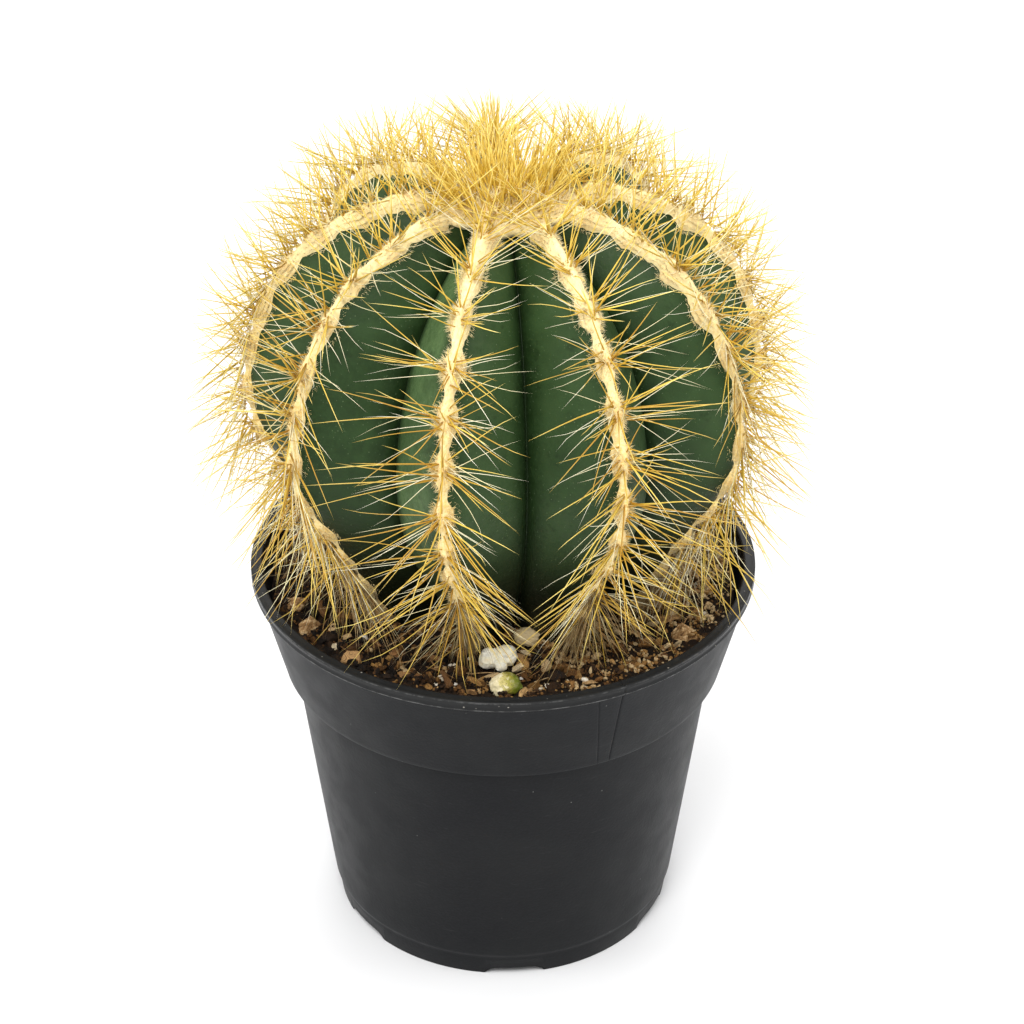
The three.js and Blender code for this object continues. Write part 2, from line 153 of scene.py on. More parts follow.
def mesh_of(name, shape, mapped=False):
    """The shape as a smooth Blender mesh, with a UV map of (along, tone) if mapped."""
    corners = np.concatenate([shape.quads.ravel(), shape.tris.ravel()])
    totals = np.repeat([4, 3], [len(shape.quads), len(shape.tris)])
    mesh = bpy.data.meshes.new(name)
    mesh.vertices.add(len(shape.points))
    mesh.vertices.foreach_set("co", (shape.points * MM).ravel())
    mesh.loops.add(len(corners))
    mesh.loops.foreach_set("vertex_index", corners)
    mesh.polygons.add(len(totals))
    mesh.polygons.foreach_set("loop_start", np.cumsum(totals) - totals)
    mesh.polygons.foreach_set("use_smooth", np.ones(len(totals), bool))
    mesh.update(calc_edges=True)
    for key in ("along", "tone"):
        values = np.ascontiguousarray(getattr(shape, key), np.float32)
        mesh.attributes.new(key, "FLOAT", "POINT").data.foreach_set("value", values)
    if mapped:
        uv = np.stack([shape.along, shape.tone], 1)[corners]
        layer = mesh.uv_layers.new(name="OFBake")
        layer.uv.foreach_set("vector", uv.astype(np.float32).ravel())
    return mesh


def piece(name, shape, material, slot, *nodes, mapped=False, sharp=None):
    """A piece of the object that rides on its one body and stands for these CAD nodes."""
    mesh = mesh_of(name, shape, mapped)
    if sharp:
        mesh.set_sharp_from_angle(angle=math.radians(sharp))
    obj = bpy.data.objects.new(name, mesh)
    bpy.context.scene.collection.objects.link(obj)
    mesh.materials.append(material)
    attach(obj, "root")
    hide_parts(*nodes)
    return obj


def grid_faces(rows, columns):
    """Quads between closed rows of points that run round counter-clockwise, seen from outside."""
    i, j = np.meshgrid(np.arange(rows - 1), np.arange(columns), indexing="ij")
    k = (j + 1) % columns
    quads = [i * columns + j, i * columns + k, (i + 1) * columns + k, (i + 1) * columns + j]
    return np.stack(quads, -1).reshape(-1, 4)


def fan(middle, ring, up):
    """Triangles from a middle point to a closed ring of points, facing up or down."""
    after = np.roll(ring, -1)
    pair = (ring, after) if up else (after, ring)
    return np.stack([np.full(len(ring), middle), *pair], 1)


def capped(rings, ends, along=0.0, tone=0.0, end_along=0.0, end_tone=0.0, clockwise=False):
    """A closed shape over rings of points (rows, count, 3) and a point at each of its two ends.
    Along and tone are given for the rings and for the ends. The rings run counter-clockwise,
    seen from the last end, unless clockwise is set."""
    rows, count = rings.shape[:2]
    total, ring = rows * count, np.arange(count)
    quads = grid_faces(rows, count)[:, :: -1 if clockwise else 1]
    tris = [fan(total, ring, clockwise), fan(total + 1, total - count + ring, not clockwise)]
    values = [
        np.append(np.broadcast_to(inner, (rows, count)), np.broadcast_to(end, 2))
        for inner, end in ((along, end_along), (tone, end_tone))
    ]
    points = np.concatenate([rings.reshape(-1, 3), ends])
    return Shape(points, quads, np.concatenate(tris), *values)


def tubes(paths, radii, sides, tones):
    """Thin round stalks that end in a point: paths is (count, rings, 3), and radii is
    (count, rings). Along runs from 0 at the root to 1 at the tip."""
    count, rings, _ = paths.shape
    way = unit(np.gradient(paths, axis=1))
    flat = np.abs(way[:, 0, 2]) < 0.9
    reference = np.where(flat[:, None], (0.0, 0.0, 1.0), (1.0, 0.0, 0.0))[:, None]
    e1 = unit(np.cross(way, np.broadcast_to(reference, way.shape)))
    e2 = np.cross(way, e1)
    turn = np.arange(sides) * 2 * np.pi / sides
    body = paths[:, :-1, None] + radii[:, :-1, None, None] * (
        np.cos(turn)[:, None] * e1[:, :-1, None] + np.sin(turn)[:, None] * e2[:, :-1, None]
    )
    per = (rings - 1) * sides + 1
    points = np.concatenate([body.reshape(count, -1, 3), paths[:, -1:]], 1)
    along = np.linspace(0, 1, rings)
    along = np.append(np.repeat(along[:-1], sides), 1.0)
    quads = grid_faces(rings - 1, sides)
    last = (rings - 2) * sides + np.arange(sides)
    tris = fan(per - 1, last, True)
    offset = (np.arange(count) * per)[:, None, None]
    base = np.arange(sides)[::-1]
    caps = (base[None] if sides == 4 else base[None, :3]) + offset[:, 0]
    shape = Shape(
        points,
        (quads + offset).reshape(-1, 4),
        (tris + offset).reshape(-1, 3),
        np.tile(along, count),
        np.repeat(tones, per),
    )
    if sides == 4:
        shape.quads = np.concatenate([shape.quads, caps])
    else:
        shape.tris = np.concatenate([shape.tris, caps])
    return shape


def ico(subdivisions):
    """A unit ball of triangles."""
    g = (1 + 5**0.5) / 2
    p = [(-1, g, 0), (1, g, 0), (-1, -g, 0), (1, -g, 0), (0, -1, g), (0, 1, g)]
    p += [(0, -1, -g), (0, 1, -g), (g, 0, -1), (g, 0, 1), (-g, 0, -1), (-g, 0, 1)]
    t = [(0, 11, 5), (0, 5, 1), (0, 1, 7), (0, 7, 10), (0, 10, 11), (1, 5, 9), (5, 11, 4)]
    t += [(11, 10, 2), (10, 7, 6), (7, 1, 8), (3, 9, 4), (3, 4, 2), (3, 2, 6), (3, 6, 8)]
    t += [(3, 8, 9), (4, 9, 5), (2, 4, 11), (6, 2, 10), (8, 6, 7), (9, 8, 1)]
    points, tris = unit(np.array(p, float)), np.array(t)
    for _ in range(subdivisions):
        edges = np.sort(np.concatenate([tris[:, [0, 1]], tris[:, [1, 2]], tris[:, [2, 0]]]))
        pairs, back = np.unique(edges, axis=0, return_inverse=True)
        middle = len(points) + back.reshape(3, -1)
        points = np.concatenate([points, unit(points[pairs].mean(1))])
        a, b, c = tris.T
        ab, bc, ca = middle
        tris = np.concatenate(
            [np.stack(x, 1) for x in ((a, ab, ca), (ab, b, bc), (ca, bc, c), (ab, bc, ca))]
        )
    return points, tris


# Materials


class Shade:
    """A node material round one Principled shader."""

    def __init__(self, name, **constants):
        self.material = bpy.data.materials.new(name)
        self.material.use_nodes = True
        self.tree = self.material.node_tree
        self.shader = self.tree.nodes["Principled BSDF"]
        for key, value in constants.items():
            self.shader.inputs[key.replace("_", " ")].default_value = value

    def node(self, kind, inputs, **settings):
        node = self.tree.nodes.new("ShaderNode" + kind)
        for key, value in settings.items():
            setattr(node, key, value)
        for key, value in inputs.items():
            if isinstance(value, bpy.types.NodeSocket):
                self.tree.links.new(value, node.inputs[key])
            elif value is not None:
                node.inputs[key].default_value = value
        return node

    def place(self):
        return self.node("TexCoord", {}).outputs["Object"]

    def attribute(self, name):
        return self.node("Attribute", {}, attribute_name=name).outputs["Fac"]

    def noise(self, vector, size, detail=3.0, roughness=0.55, distortion=0.0):
        """Noise whose lumps are about size millimetres wide."""
        inputs = {"Vector": vector, "Scale": 1 / (size * MM), "Detail": detail}
        inputs |= {"Roughness": roughness, "Distortion": distortion}
        return self.node("TexNoise", inputs).outputs["Fac"]

    def dots(self, vector, size):
        """The distance to the nearest of many points that are size millimetres apart."""
        inputs = {"Vector": vector, "Scale": 1 / (size * MM), "Randomness": 1.0}
        return self.node("TexVoronoi", inputs).outputs["Distance"]

    def ramp(self, value, *stops, smooth=True):
        """Stops are (position, tint)."""
        node = self.node("ValToRGB", {"Fac": value})
        ramp = node.color_ramp
        ramp.interpolation = "EASE" if smooth else "LINEAR"
        while len(ramp.elements) < len(stops):
            ramp.elements.new(0.5)
        for element, (at, colour) in zip(ramp.elements, stops):
            element.position = at
        for element, (at, colour) in zip(ramp.elements, stops):
            element.color = tint(colour)
        return node.outputs["Color"]

    def mix(self, factor, a, b, how="MIX"):
        inputs = {0: factor, 6: tint(a), 7: tint(b)}
        return self.node("Mix", inputs, data_type="RGBA", blend_type=how).outputs[2]

    def times(self, first, *others):
        for other in others:
            first = self.node("Math", {0: first, 1: other}, operation="MULTIPLY").outputs[0]
        return first

    def plus(self, a, b):
        return self.node("Math", {0: a, 1: b}, operation="ADD").outputs[0]

    def own_noise(self, along_scale, tone_scale, detail=2.0, roughness=0.5):
        """Noise over the numbers that each point carries, so that it rides on small grains."""
        along = self.times(self.attribute("along"), along_scale)
        tone = self.times(self.attribute("tone"), tone_scale)
        vector = self.node("CombineXYZ", {"X": along, "Y": tone}).outputs[0]
        inputs = {"Vector": vector, "Scale": 1.0, "Detail": detail, "Roughness": roughness}
        return self.node("TexNoise", inputs).outputs["Fac"]

    def finish(self, colour, roughness=None, height=None, depth=0.1, strength=1.0):
        """Height runs from 0 to 1, and stands for depth millimetres."""
        links = self.tree.links
        links.new(colour, self.shader.inputs["Base Color"])
        if roughness is not None:
            links.new(roughness, self.shader.inputs["Roughness"])
        if height is not None:
            inputs = {"Height": height, "Distance": depth * MM, "Strength": strength}
            bump = self.node("Bump", inputs)
            links.new(bump.outputs[0], self.shader.inputs["Normal"])
        return self.material


def pot_material():
    s = Shade("pot_plastic", Specular_IOR_Level=0.1)
    at = s.place()
    cloud = s.noise(at, 22, 4)
    grain = s.noise(at, 0.55, 2)
    colour = s.ramp(cloud, (0.3, (21, 22, 24)), (0.7, (26, 27, 28)))
    colour = s.mix(s.ramp(grain, (0.35, 0.0), (0.8, 0.14)), colour, (40, 41, 43))
    height = s.node("SeparateXYZ", {"Vector": at}).outputs["Z"]
    near_rim = s.ramp(s.times(height, 10), (0.79, 0.0), (0.825, 1.0))
    specks = s.ramp(s.dots(at, 1.7), (0.06, 1.0), (0.13, 0.0))
    sparse = s.ramp(s.noise(at, 5, 2), (0.52, 0.0), (0.6, 1.0))
    # The rim's top is painted paler: a painted sheen of the light on it.
    colour = s.mix(s.times(near_rim, 0.45), colour, (44, 44, 43))
    rim_dust = s.times(specks, sparse, near_rim)
    colour = s.mix(s.times(rim_dust, 0.75), colour, (165, 160, 150))
    fine = s.ramp(s.dots(at, 3.3), (0.02, 1.0), (0.05, 0.0))
    rare = s.ramp(s.noise(at, 9, 1), (0.56, 0.0), (0.64, 1.0))
    colour = s.mix(s.times(fine, rare, 0.5), colour, (150, 150, 146))
    stretched = s.node("Mapping", {"Vector": at, "Scale": (1, 1, 9), "Rotation": (0.3, 0.2, 0)})
    scuff = s.noise(stretched.outputs[0], 9, 5, 0.7)
    scuffs = s.ramp(scuff, (0.62, 0.0), (0.72, 1.0))
    colour = s.mix(s.times(scuffs, 0.08), colour, (98, 98, 98))
    # Tone marks the lip's edges, painted paler: partly wear, partly painted highlight lines.
    wear_and_highlight = s.ramp(s.noise(at, 2.2, 5, 0.7), (0.42, 0.08), (0.62, 0.6))
    colour = s.mix(s.times(wear_and_highlight, s.attribute("tone")), colour, (150, 150, 148))
    rough = s.ramp(s.noise(at, 6, 4), (0.3, 0.4), (0.7, 0.48))
    rough = s.mix(scuffs, rough, (0.5, 0.5, 0.5, 1))
    rough = s.mix(near_rim, rough, (0.25, 0.25, 0.25, 1))
    bumps = s.plus(grain, s.times(cloud, 1.5))
    return s.finish(colour, rough, bumps, 0.05, 0.8)


def skin_material():
    s = Shade("cactus_skin", Specular_IOR_Level=0.16)
    at = s.place()
    across, up = s.attribute("tone"), s.attribute("along")
    broad = s.noise(at, 16, 3)
    fine = s.noise(at, 1.1, 4, 0.65)
    colour = s.ramp(broad, (0.3, (20, 37, 14)), (0.52, (28, 48, 19)), (0.72, (38, 61, 28)))
    patchy = s.ramp(s.noise(at, 17, 4, 0.6), (0.36, 0.45), (0.62, 1.0))
    flank = s.ramp(across, (0.1, 0.3), (0.3, 1.0), (0.72, 0.9), (0.95, 0.0))
    # Paler flanks: partly pale bloom, partly painted light where the lamps fall on them.
    bloom_and_light = s.times(patchy, flank, s.attribute("bloom_and_light"))
    colour = s.mix(bloom_and_light, colour, (80, 104, 64))
    colour = s.mix(s.ramp(fine, (0.35, 0.0), (0.75, 0.48)), colour, (46, 70, 36))
    mottle = s.ramp(s.noise(at, 5, 5, 0.7), (0.55, 0.0), (0.7, 0.5))
    colour = s.mix(mottle, colour, (22, 37, 14))
    # The skin low on the globe, near the soil, is painted dark: painted shade under the globe.
    colour = s.mix(s.ramp(up, (0.24, 0.98), (0.52, 0.0)), colour, (13, 20, 6))
    # Painted shade in the valleys between the ribs.
    painted_valley_shade = s.ramp(across, (0.7, 0.0), (0.94, 0.3), (1.0, 0.7))
    colour = s.mix(painted_valley_shade, colour, (17, 28, 11))
    specks = s.ramp(s.dots(at, 0.8), (0.08, 1.0), (0.2, 0.0))
    some = s.ramp(s.noise(at, 2.4, 2), (0.42, 0.0), (0.62, 1.0))
    speckle = s.times(specks, some)
    colour = s.mix(s.times(speckle, 0.3), colour, (130, 150, 112))
    rough = s.ramp(fine, (0.3, 0.42), (0.7, 0.58))
    bumps = s.plus(s.times(fine, 1.2), s.times(speckle, 0.4))
    return s.finish(colour, rough, bumps, 0.12, 0.7)


def needle_material():
    """Along runs from root to tip. Tone is golden up to 0.55, tan to 0.78, then whitish."""
    s = Shade("spine_gold", Specular_IOR_Level=0.5)
    along, tone = s.attribute("along"), s.attribute("tone")
    stops = (0.0, 0.3, 0.55, 0.6, 0.76, 0.82, 1.0)
    root, middle, tip = (
        s.ramp(tone, *zip(stops, colours), smooth=False)
        for colours in (
            ((194, 141, 38), (210, 165, 52), (238, 202, 84), (118, 80, 30),
             (132, 110, 70), (226, 206, 140), (248, 240, 196)),
            ((184, 139, 38), (216, 182, 66), (252, 224, 106), (150, 108, 44),
             (150, 128, 86), (246, 236, 182), (254, 250, 222)),
            ((210, 178, 82), (238, 214, 116), (255, 240, 156), (174, 136, 74),
             (174, 156, 114), (250, 242, 200), (255, 252, 230)),
        )
    )
    colour = s.mix(s.ramp(along, (0.0, 0.15), (0.22, 1.0)), root, middle)
    colour = s.mix(s.ramp(along, (0.45, 0.0), (1.0, 1.0)), colour, tip)
    bands = s.own_noise(9, 260)
    colour = s.mix(s.ramp(bands, (0.35, 0.2), (0.6, 0.0)), colour, (228, 192, 112), "MULTIPLY")
    rough = s.ramp(bands, (0.3, 0.3), (0.7, 0.45))
    return s.finish(colour, rough, bands, 0.03, 0.5)


def wool_material():
    """Tone is 0 on clean wool and 1 where spines come through it."""
    s = Shade("areole_wool", Roughness=0.95, Specular_IOR_Level=0.15, Sheen_Weight=0.35)
    at = s.place()
    tone = s.attribute("tone")
    felt = s.noise(at, 0.7, 4, 0.7)
    colour = s.ramp(
        felt, (0.24, (223, 187, 106)), (0.4, (239, 210, 131)), (0.6, (248, 228, 170))
    )
    foot = s.ramp(s.attribute("along"), (0.04, 0.85), (0.16, 0.0))
    colour = s.mix(foot, colour, (150, 124, 78))
    # The wool higher up the crest is painted paler: painted light on wool that faces up.
    painted_top_light = s.ramp(s.attribute("along"), (0.5, 0.0), (0.8, 0.55))
    colour = s.mix(painted_top_light, colour, (255, 242, 192))
    stain = s.times(tone, s.ramp(s.noise(at, 1.1, 3), (0.4, 0.1), (0.62, 1.0)))
    colour = s.mix(stain, colour, (216, 156, 60))
    specks = s.ramp(s.dots(at, 1.8), (0.06, 1.0), (0.1, 0.0))
    some = s.ramp(s.noise(at, 3.5, 1), (0.6, 0.0), (0.64, 0.7))
    colour = s.mix(s.times(specks, some), colour, (132, 88, 42))
    return s.finish(colour, None, felt, 0.07, 0.6)


def litter_material(name, *stops, depth, dark):
    """Loose litter. Tone picks a grain's colour and along varies it over the grain."""
    s = Shade(name, Specular_IOR_Level=0.25)
    colour = s.ramp(s.attribute("tone"), *stops, smooth=False)
    patches = s.own_noise(18, 90, 4.0, 0.7)
    colour = s.mix(s.ramp(patches, (0.35, dark), (0.62, 0.0)), colour, (40, 26, 16), "MULTIPLY")
    rough = s.ramp(patches, (0.3, 0.7), (0.7, 0.95))
    return s.finish(colour, rough, patches, depth, 0.7)


def bed_material():
    s = Shade("soil_bed", Specular_IOR_Level=0.2)
    at = s.place()
    lumps = s.noise(at, 1.4, 5, 0.7)
    colour = s.ramp(lumps, (0.32, (12, 8, 4)), (0.52, (30, 20, 11)), (0.7, (80, 56, 30)))
    flecks = s.ramp(s.dots(at, 1.3), (0.12, 1.0), (0.2, 0.0))
    some = s.ramp(s.noise(at, 4, 2), (0.5, 0.0), (0.62, 0.8))
    colour = s.mix(s.times(flecks, some), colour, (150, 110, 66))
    rough = s.ramp(lumps, (0.3, 0.8), (0.7, 0.97))
    return s.finish(colour, rough, lumps, 0.6, 1.0)


def perlite_material():
    s = Shade("perlite_grain", Specular_IOR_Level=0.3)
    at = s.place()
    pores = s.dots(at, 0.8)
    broad = s.noise(at, 2.2, 4, 0.65)
    colour = s.ramp(broad, (0.3, (255, 236, 192)), (0.42, (255, 248, 220)), (0.6, (255, 252, 236)))
    colour = s.mix(s.ramp(pores, (0.05, 0.15), (0.22, 0.0)), colour, (214, 172, 116))
    # The grain deep between the ribs is darker.
    colour = s.mix(s.attribute("tone"), colour, (208, 190, 158), "MULTIPLY")
    rough = s.ramp(broad, (0.3, 0.7), (0.7, 0.92))
    return s.finish(colour, rough, s.plus(pores, broad), 0.12, 0.5)


def pebble_material():
    s = Shade("pebble_stone", Specular_IOR_Level=0.45)
    at = s.place()
    side = s.node("SeparateXYZ", {"Vector": at}).outputs["X"]
    blur = s.times(s.noise(at, 1.9, 6, 0.72), 0.42)
    share = s.plus(s.times(side, 110), s.plus(blur, 0.13))
    colour = s.ramp(
        share, (0.2, (234, 221, 178)), (0.32, (212, 198, 126)), (0.46, (166, 158, 62)),
        (0.64, (106, 117, 24)), (0.9, (68, 84, 16)),
    )
    blotches = s.ramp(s.noise(at, 1.2, 5, 0.7), (0.5, 0.0), (0.6, 0.8))
    middle = s.ramp(share, (0.18, 0.25), (0.42, 1.0), (0.75, 0.35))
    colour = s.mix(s.times(blotches, middle), colour, (126, 112, 44))
    flecks = s.ramp(s.dots(at, 0.6), (0.12, 0.9), (0.26, 0.0))
    colour = s.mix(s.times(flecks, middle), colour, (88, 68, 30))
    pale = s.ramp(s.noise(at, 0.9, 3), (0.53, 0.0), (0.6, 0.85))
    pale = s.times(pale, s.ramp(share, (0.3, 1.0), (0.62, 0.1)))
    colour = s.mix(pale, colour, (240, 230, 196))
    rough = s.ramp(blur, (0.14, 0.4), (0.28, 0.65))
    return s.finish(colour, rough, s.noise(at, 0.8, 4), 0.12, 0.8)


def bark_material():
    s = Shade("bark_chip", Specular_IOR_Level=0.25)
    at = s.place()
    layers = s.node("Mapping", {"Vector": at, "Scale": (1, 1.5, 2.2), "Rotation": (0.2, 0.3, 0.6)})
    grain = s.noise(layers.outputs[0], 1.7, 6, 0.72, 0.3)
    colour = s.ramp(grain, (0.34, (70, 46, 26)), (0.48, (162, 124, 80)), (0.62, (224, 194, 146)))
    rough = s.ramp(grain, (0.3, 0.75), (0.7, 0.95))
    return s.finish(colour, rough, grain, 0.3, 0.9)


# The plant's form


def arc_curve(outline):
    """A function from a share of its length, 0 to 1, to a point of the smooth outline."""
    p = np.array(outline, float)
    t = np.linspace(0, len(p) - 1, 4001)
    i = np.minimum(t.astype(int), len(p) - 2)
    s = (t - i)[:, None]
    p0, p1 = p[np.maximum(i - 1, 0)], p[i]
    p2, p3 = p[i + 1], p[np.minimum(i + 2, len(p) - 1)]
    v0, v1 = (p2 - p0) / 2, (p3 - p1) / 2
    dense = (2 * p1 - 2 * p2 + v0 + v1) * s**3 + (-3 * p1 + 3 * p2 - 2 * v0 - v1) * s**2 + v0 * s + p1
    steps = np.append(0, np.cumsum(np.linalg.norm(np.diff(dense, axis=0), axis=1)))

    def at(u):
        d = np.clip(u, 0, 1) * steps[-1]
        return np.stack([np.interp(d, steps, dense[:, k]) for k in (0, 1)], -1)

    return at, steps[-1]


crest_at, CREST_LENGTH = arc_curve(CREST)
valley_at, _ = arc_curve(VALLEY)
HALF_TURNS = [
    [((RIBS[(r + side) % 9] - RIBS[r]) * side % 360) / 2 for side in (-1, 1)] for r in range(9)
]


def half_turn(rib, across):
    """Degrees from a crest to the valley on the side that the sign of across names."""
    before, after = HALF_TURNS[rib]
    return np.where(np.asarray(across) < 0, before, after)


def profile_at(u, across):
    """(radius, height) of the skin; across is 0 on a crest and 1 in a valley."""
    a, c, e = np.abs(across), CREST_ROUNDING, FLANK_BULGE
    share = ((a * a + c * c) ** (e / 2) - c**e) / ((1 + c * c) ** (e / 2) - c**e)
    share = np.asarray(share)[..., None]
    return crest_at(u) * (1 - share) + valley_at(u) * share


def polar(radius, degrees, z, x=PLANT_X):
    a = np.radians(degrees)
    radius, a, z = np.broadcast_arrays(radius, a, z)
    return np.stack([x + radius * np.sin(a), -radius * np.cos(a), z], -1)


def skin_at(rib, across, u):
    at = profile_at(u, across)
    return polar(at[..., 0], RIBS[rib] + half_turn(rib, across) * across, at[..., 1])


def crest_frame(rib, u):
    """Point, way up along the crest, way out and way round, for an array of u."""
    u = np.asarray(u, float)
    at = crest_at(u)
    way = unit(crest_at(u + 0.002) - crest_at(u - 0.002))
    a = math.radians(RIBS[rib])
    radial, up = np.array([math.sin(a), -math.cos(a), 0]), np.array([0, 0, 1.0])
    along = way[..., :1] * radial + way[..., 1:] * up
    out = way[..., 1:] * radial - way[..., :1] * up
    around = np.broadcast_to([math.cos(a), math.sin(a), 0], along.shape)
    return polar(at[..., 0], RIBS[rib], at[..., 1]), along, out, around


def areole_places():
    u = np.linspace(0, 0.5, 5001)
    first = u[np.argmax(crest_at(u)[:, 1] >= FIRST_AREOLE_Z)]
    places = first + np.arange(20) * AREOLE_SPACING / CREST_LENGTH
    at = crest_at(places)
    return places[(places < 0.5) | (at[:, 0] > LAST_AREOLE_R)]


AREOLES = areole_places()

# How far the skin lies from the middle of the globe, by how far across a rib and by elevation
ACROSS_STEPS = np.linspace(0, 1, 33)
ANGLES = np.radians(np.linspace(-89, 89, 357))


def skin_table():
    u = np.linspace(0, 1, 1200)
    rows = []
    for across in ACROSS_STEPS:
        at = profile_at(u, across)
        angle = np.arctan2(at[:, 1] - GLOBE_Z, at[:, 0])
        far = np.hypot(at[:, 0], at[:, 1] - GLOBE_Z)
        order = np.argsort(angle)
        rows.append(np.interp(ANGLES, angle[order], far[order]))
    return np.array(rows)


SKIN_FAR = skin_table()


def valley_share(degrees):
    """How far directions lie from their nearest crest, 0, towards the next valley, 1."""
    across = np.full(np.shape(degrees), 9.0)
    for rib in range(9):
        turn = (degrees - RIBS[rib] + 540) % 360 - 180
        across = np.minimum(across, np.abs(turn) / half_turn(rib, turn))
    return np.clip(across, 0, 1)


def off_skin(points):
    """How far points stand off the skin, measured from the middle of the globe."""
    x, y, z = points[..., 0] - PLANT_X, points[..., 1], points[..., 2] - GLOBE_Z
    radius, degrees = np.hypot(x, y), np.degrees(np.arctan2(x, -y))
    row = valley_share(degrees) * (len(ACROSS_STEPS) - 1)
    column = (np.degrees(np.arctan2(z, radius)) + 89) * 2
    i = np.clip(row.astype(int), 0, len(ACROSS_STEPS) - 2)
    j = np.clip(column.astype(int), 0, len(ANGLES) - 2)
    fi, fj = np.clip(row - i, 0, 1), np.clip(column - j, 0, 1)
    low = SKIN_FAR[i, j] * (1 - fj) + SKIN_FAR[i, j + 1] * fj
    high = SKIN_FAR[i + 1, j] * (1 - fj) + SKIN_FAR[i + 1, j + 1] * fj
    return np.hypot(radius, z) - (low * (1 - fi) + high * fi)


def soil_height(x, y):
    """The bed's height: slow waves with rough lumps, and a rise towards the front wall."""
    waves = np.sin(0.41 * x + 1) * np.cos(0.37 * y) + np.sin(0.19 * y - 0.23 * x)
    flat = np.stack([x, y, np.zeros_like(x)], -1)
    lumps = 0.7 * field(flat, 3.1, 11) + 0.5 * field(flat, 1.3, 12)
    r = np.hypot(x, y)
    rise = 2.5 * smoothstep(39.5, 46.5, r) * smoothstep(0.35, 0.85, -y / np.maximum(r, 1))
    return SOIL_Z + 0.5 * waves + lumps + rise


# Body


def make_body():
    side = np.array([0, 0.035, 0.08, 0.13, 0.19, 0.26, 0.34, 0.42, 0.51, 0.6, 0.68, 0.76])
    side = np.concatenate([side, [0.83, 0.885, 0.925, 0.955, 0.975, 0.99]])
    u = np.linspace(0, 0.985, 130)[:, None]
    across = np.concatenate([-side[:0:-1], side, [1.0]])[None]
    fade = smoothstep(0.02, 0.1, u) * (1 - smoothstep(0.9, 0.97, u))
    groove = 0.8 * smoothstep(0.88, 1.0, np.abs(across)) ** 2 * fade
    # The skin swells a little under each areole.
    near = np.abs((u - AREOLES[None]) * CREST_LENGTH).min(1, keepdims=True)
    swell = 0.45 * np.exp(-((near / 2.6) ** 2)) * np.exp(-((across / 0.2) ** 2))
    centre = np.array([PLANT_X, 0, GLOBE_Z])
    columns, blooms_and_light = [], []
    for rib in range(9):
        points = skin_at(rib, across, u)
        outward = unit((points - centre) * (1, 1, 0.4))
        lumps = 0.32 * field(points, 13, 3 + rib) + 0.1 * field(points, 4.5, 4)
        offset = (lumps + swell) * fade * (1 - np.abs(across) ** 6) - groove
        columns.append(points + outward * offset[..., None])
        # Paler flanks: partly pale bloom, partly painted light.
        blooms_and_light.append(np.where(across < 0, *BLOOM_AND_LIGHT[rib]) * smoothstep(0.12, 0.3, u))
    points = np.concatenate(columns, 1)
    across = np.tile(np.abs(across), 9)
    ends = np.array([polar(0, 0, 67), polar(0, 0, 163.5)])
    shape = capped(points, ends, u, across, (0, 1))
    skin = piece("cactus_skin", shape, skin_material(), "cactus_skin", "cactus_body")
    bloom_and_light = np.append(np.concatenate(blooms_and_light, 1).ravel(), [0, 0])
    skin.data.attributes.new("bloom_and_light", "FLOAT", "POINT").data.foreach_set("value", bloom_and_light)


# Wool


def wool_stations():
    """Places up a crest, with the half width and height of the wool at each and how far up
    the crest its areole is. The wool is widest at the areoles and thins out below each."""
    u = np.arange(AREOLES[0] - 4 / CREST_LENGTH, AREOLES[-1] + 4.5 / CREST_LENGTH, 0.36 / CREST_LENGTH)
    d = (u[:, None] - AREOLES[None]) * CREST_LENGTH
    bump = np.where(d > 0, np.exp(-np.abs(d / 2.6) ** 2.6), np.exp(-np.abs(d / 4.8) ** 2.6))
    best, rows = bump.argmax(1), np.arange(len(u))
    bump, from_areole = bump[rows, best], d[rows, best]
    share = np.clip((u - AREOLES[0]) / (AREOLES[-1] - AREOLES[0]), 0, 1)
    old, top = 1 - smoothstep(0.08, 0.6, share), smoothstep(0.62, 1.0, share)
    wide, narrow = 2.15 - 0.4 * old + 0.3 * top, 0.8 - 0.66 * old + 0.65 * top
    high, low = 1.45 - 0.35 * old, 0.55 - 0.85 * old + 0.4 * top
    return u, narrow + (wide - narrow) * bump, low + (high - low) * bump, from_areole


WOOL = wool_stations()


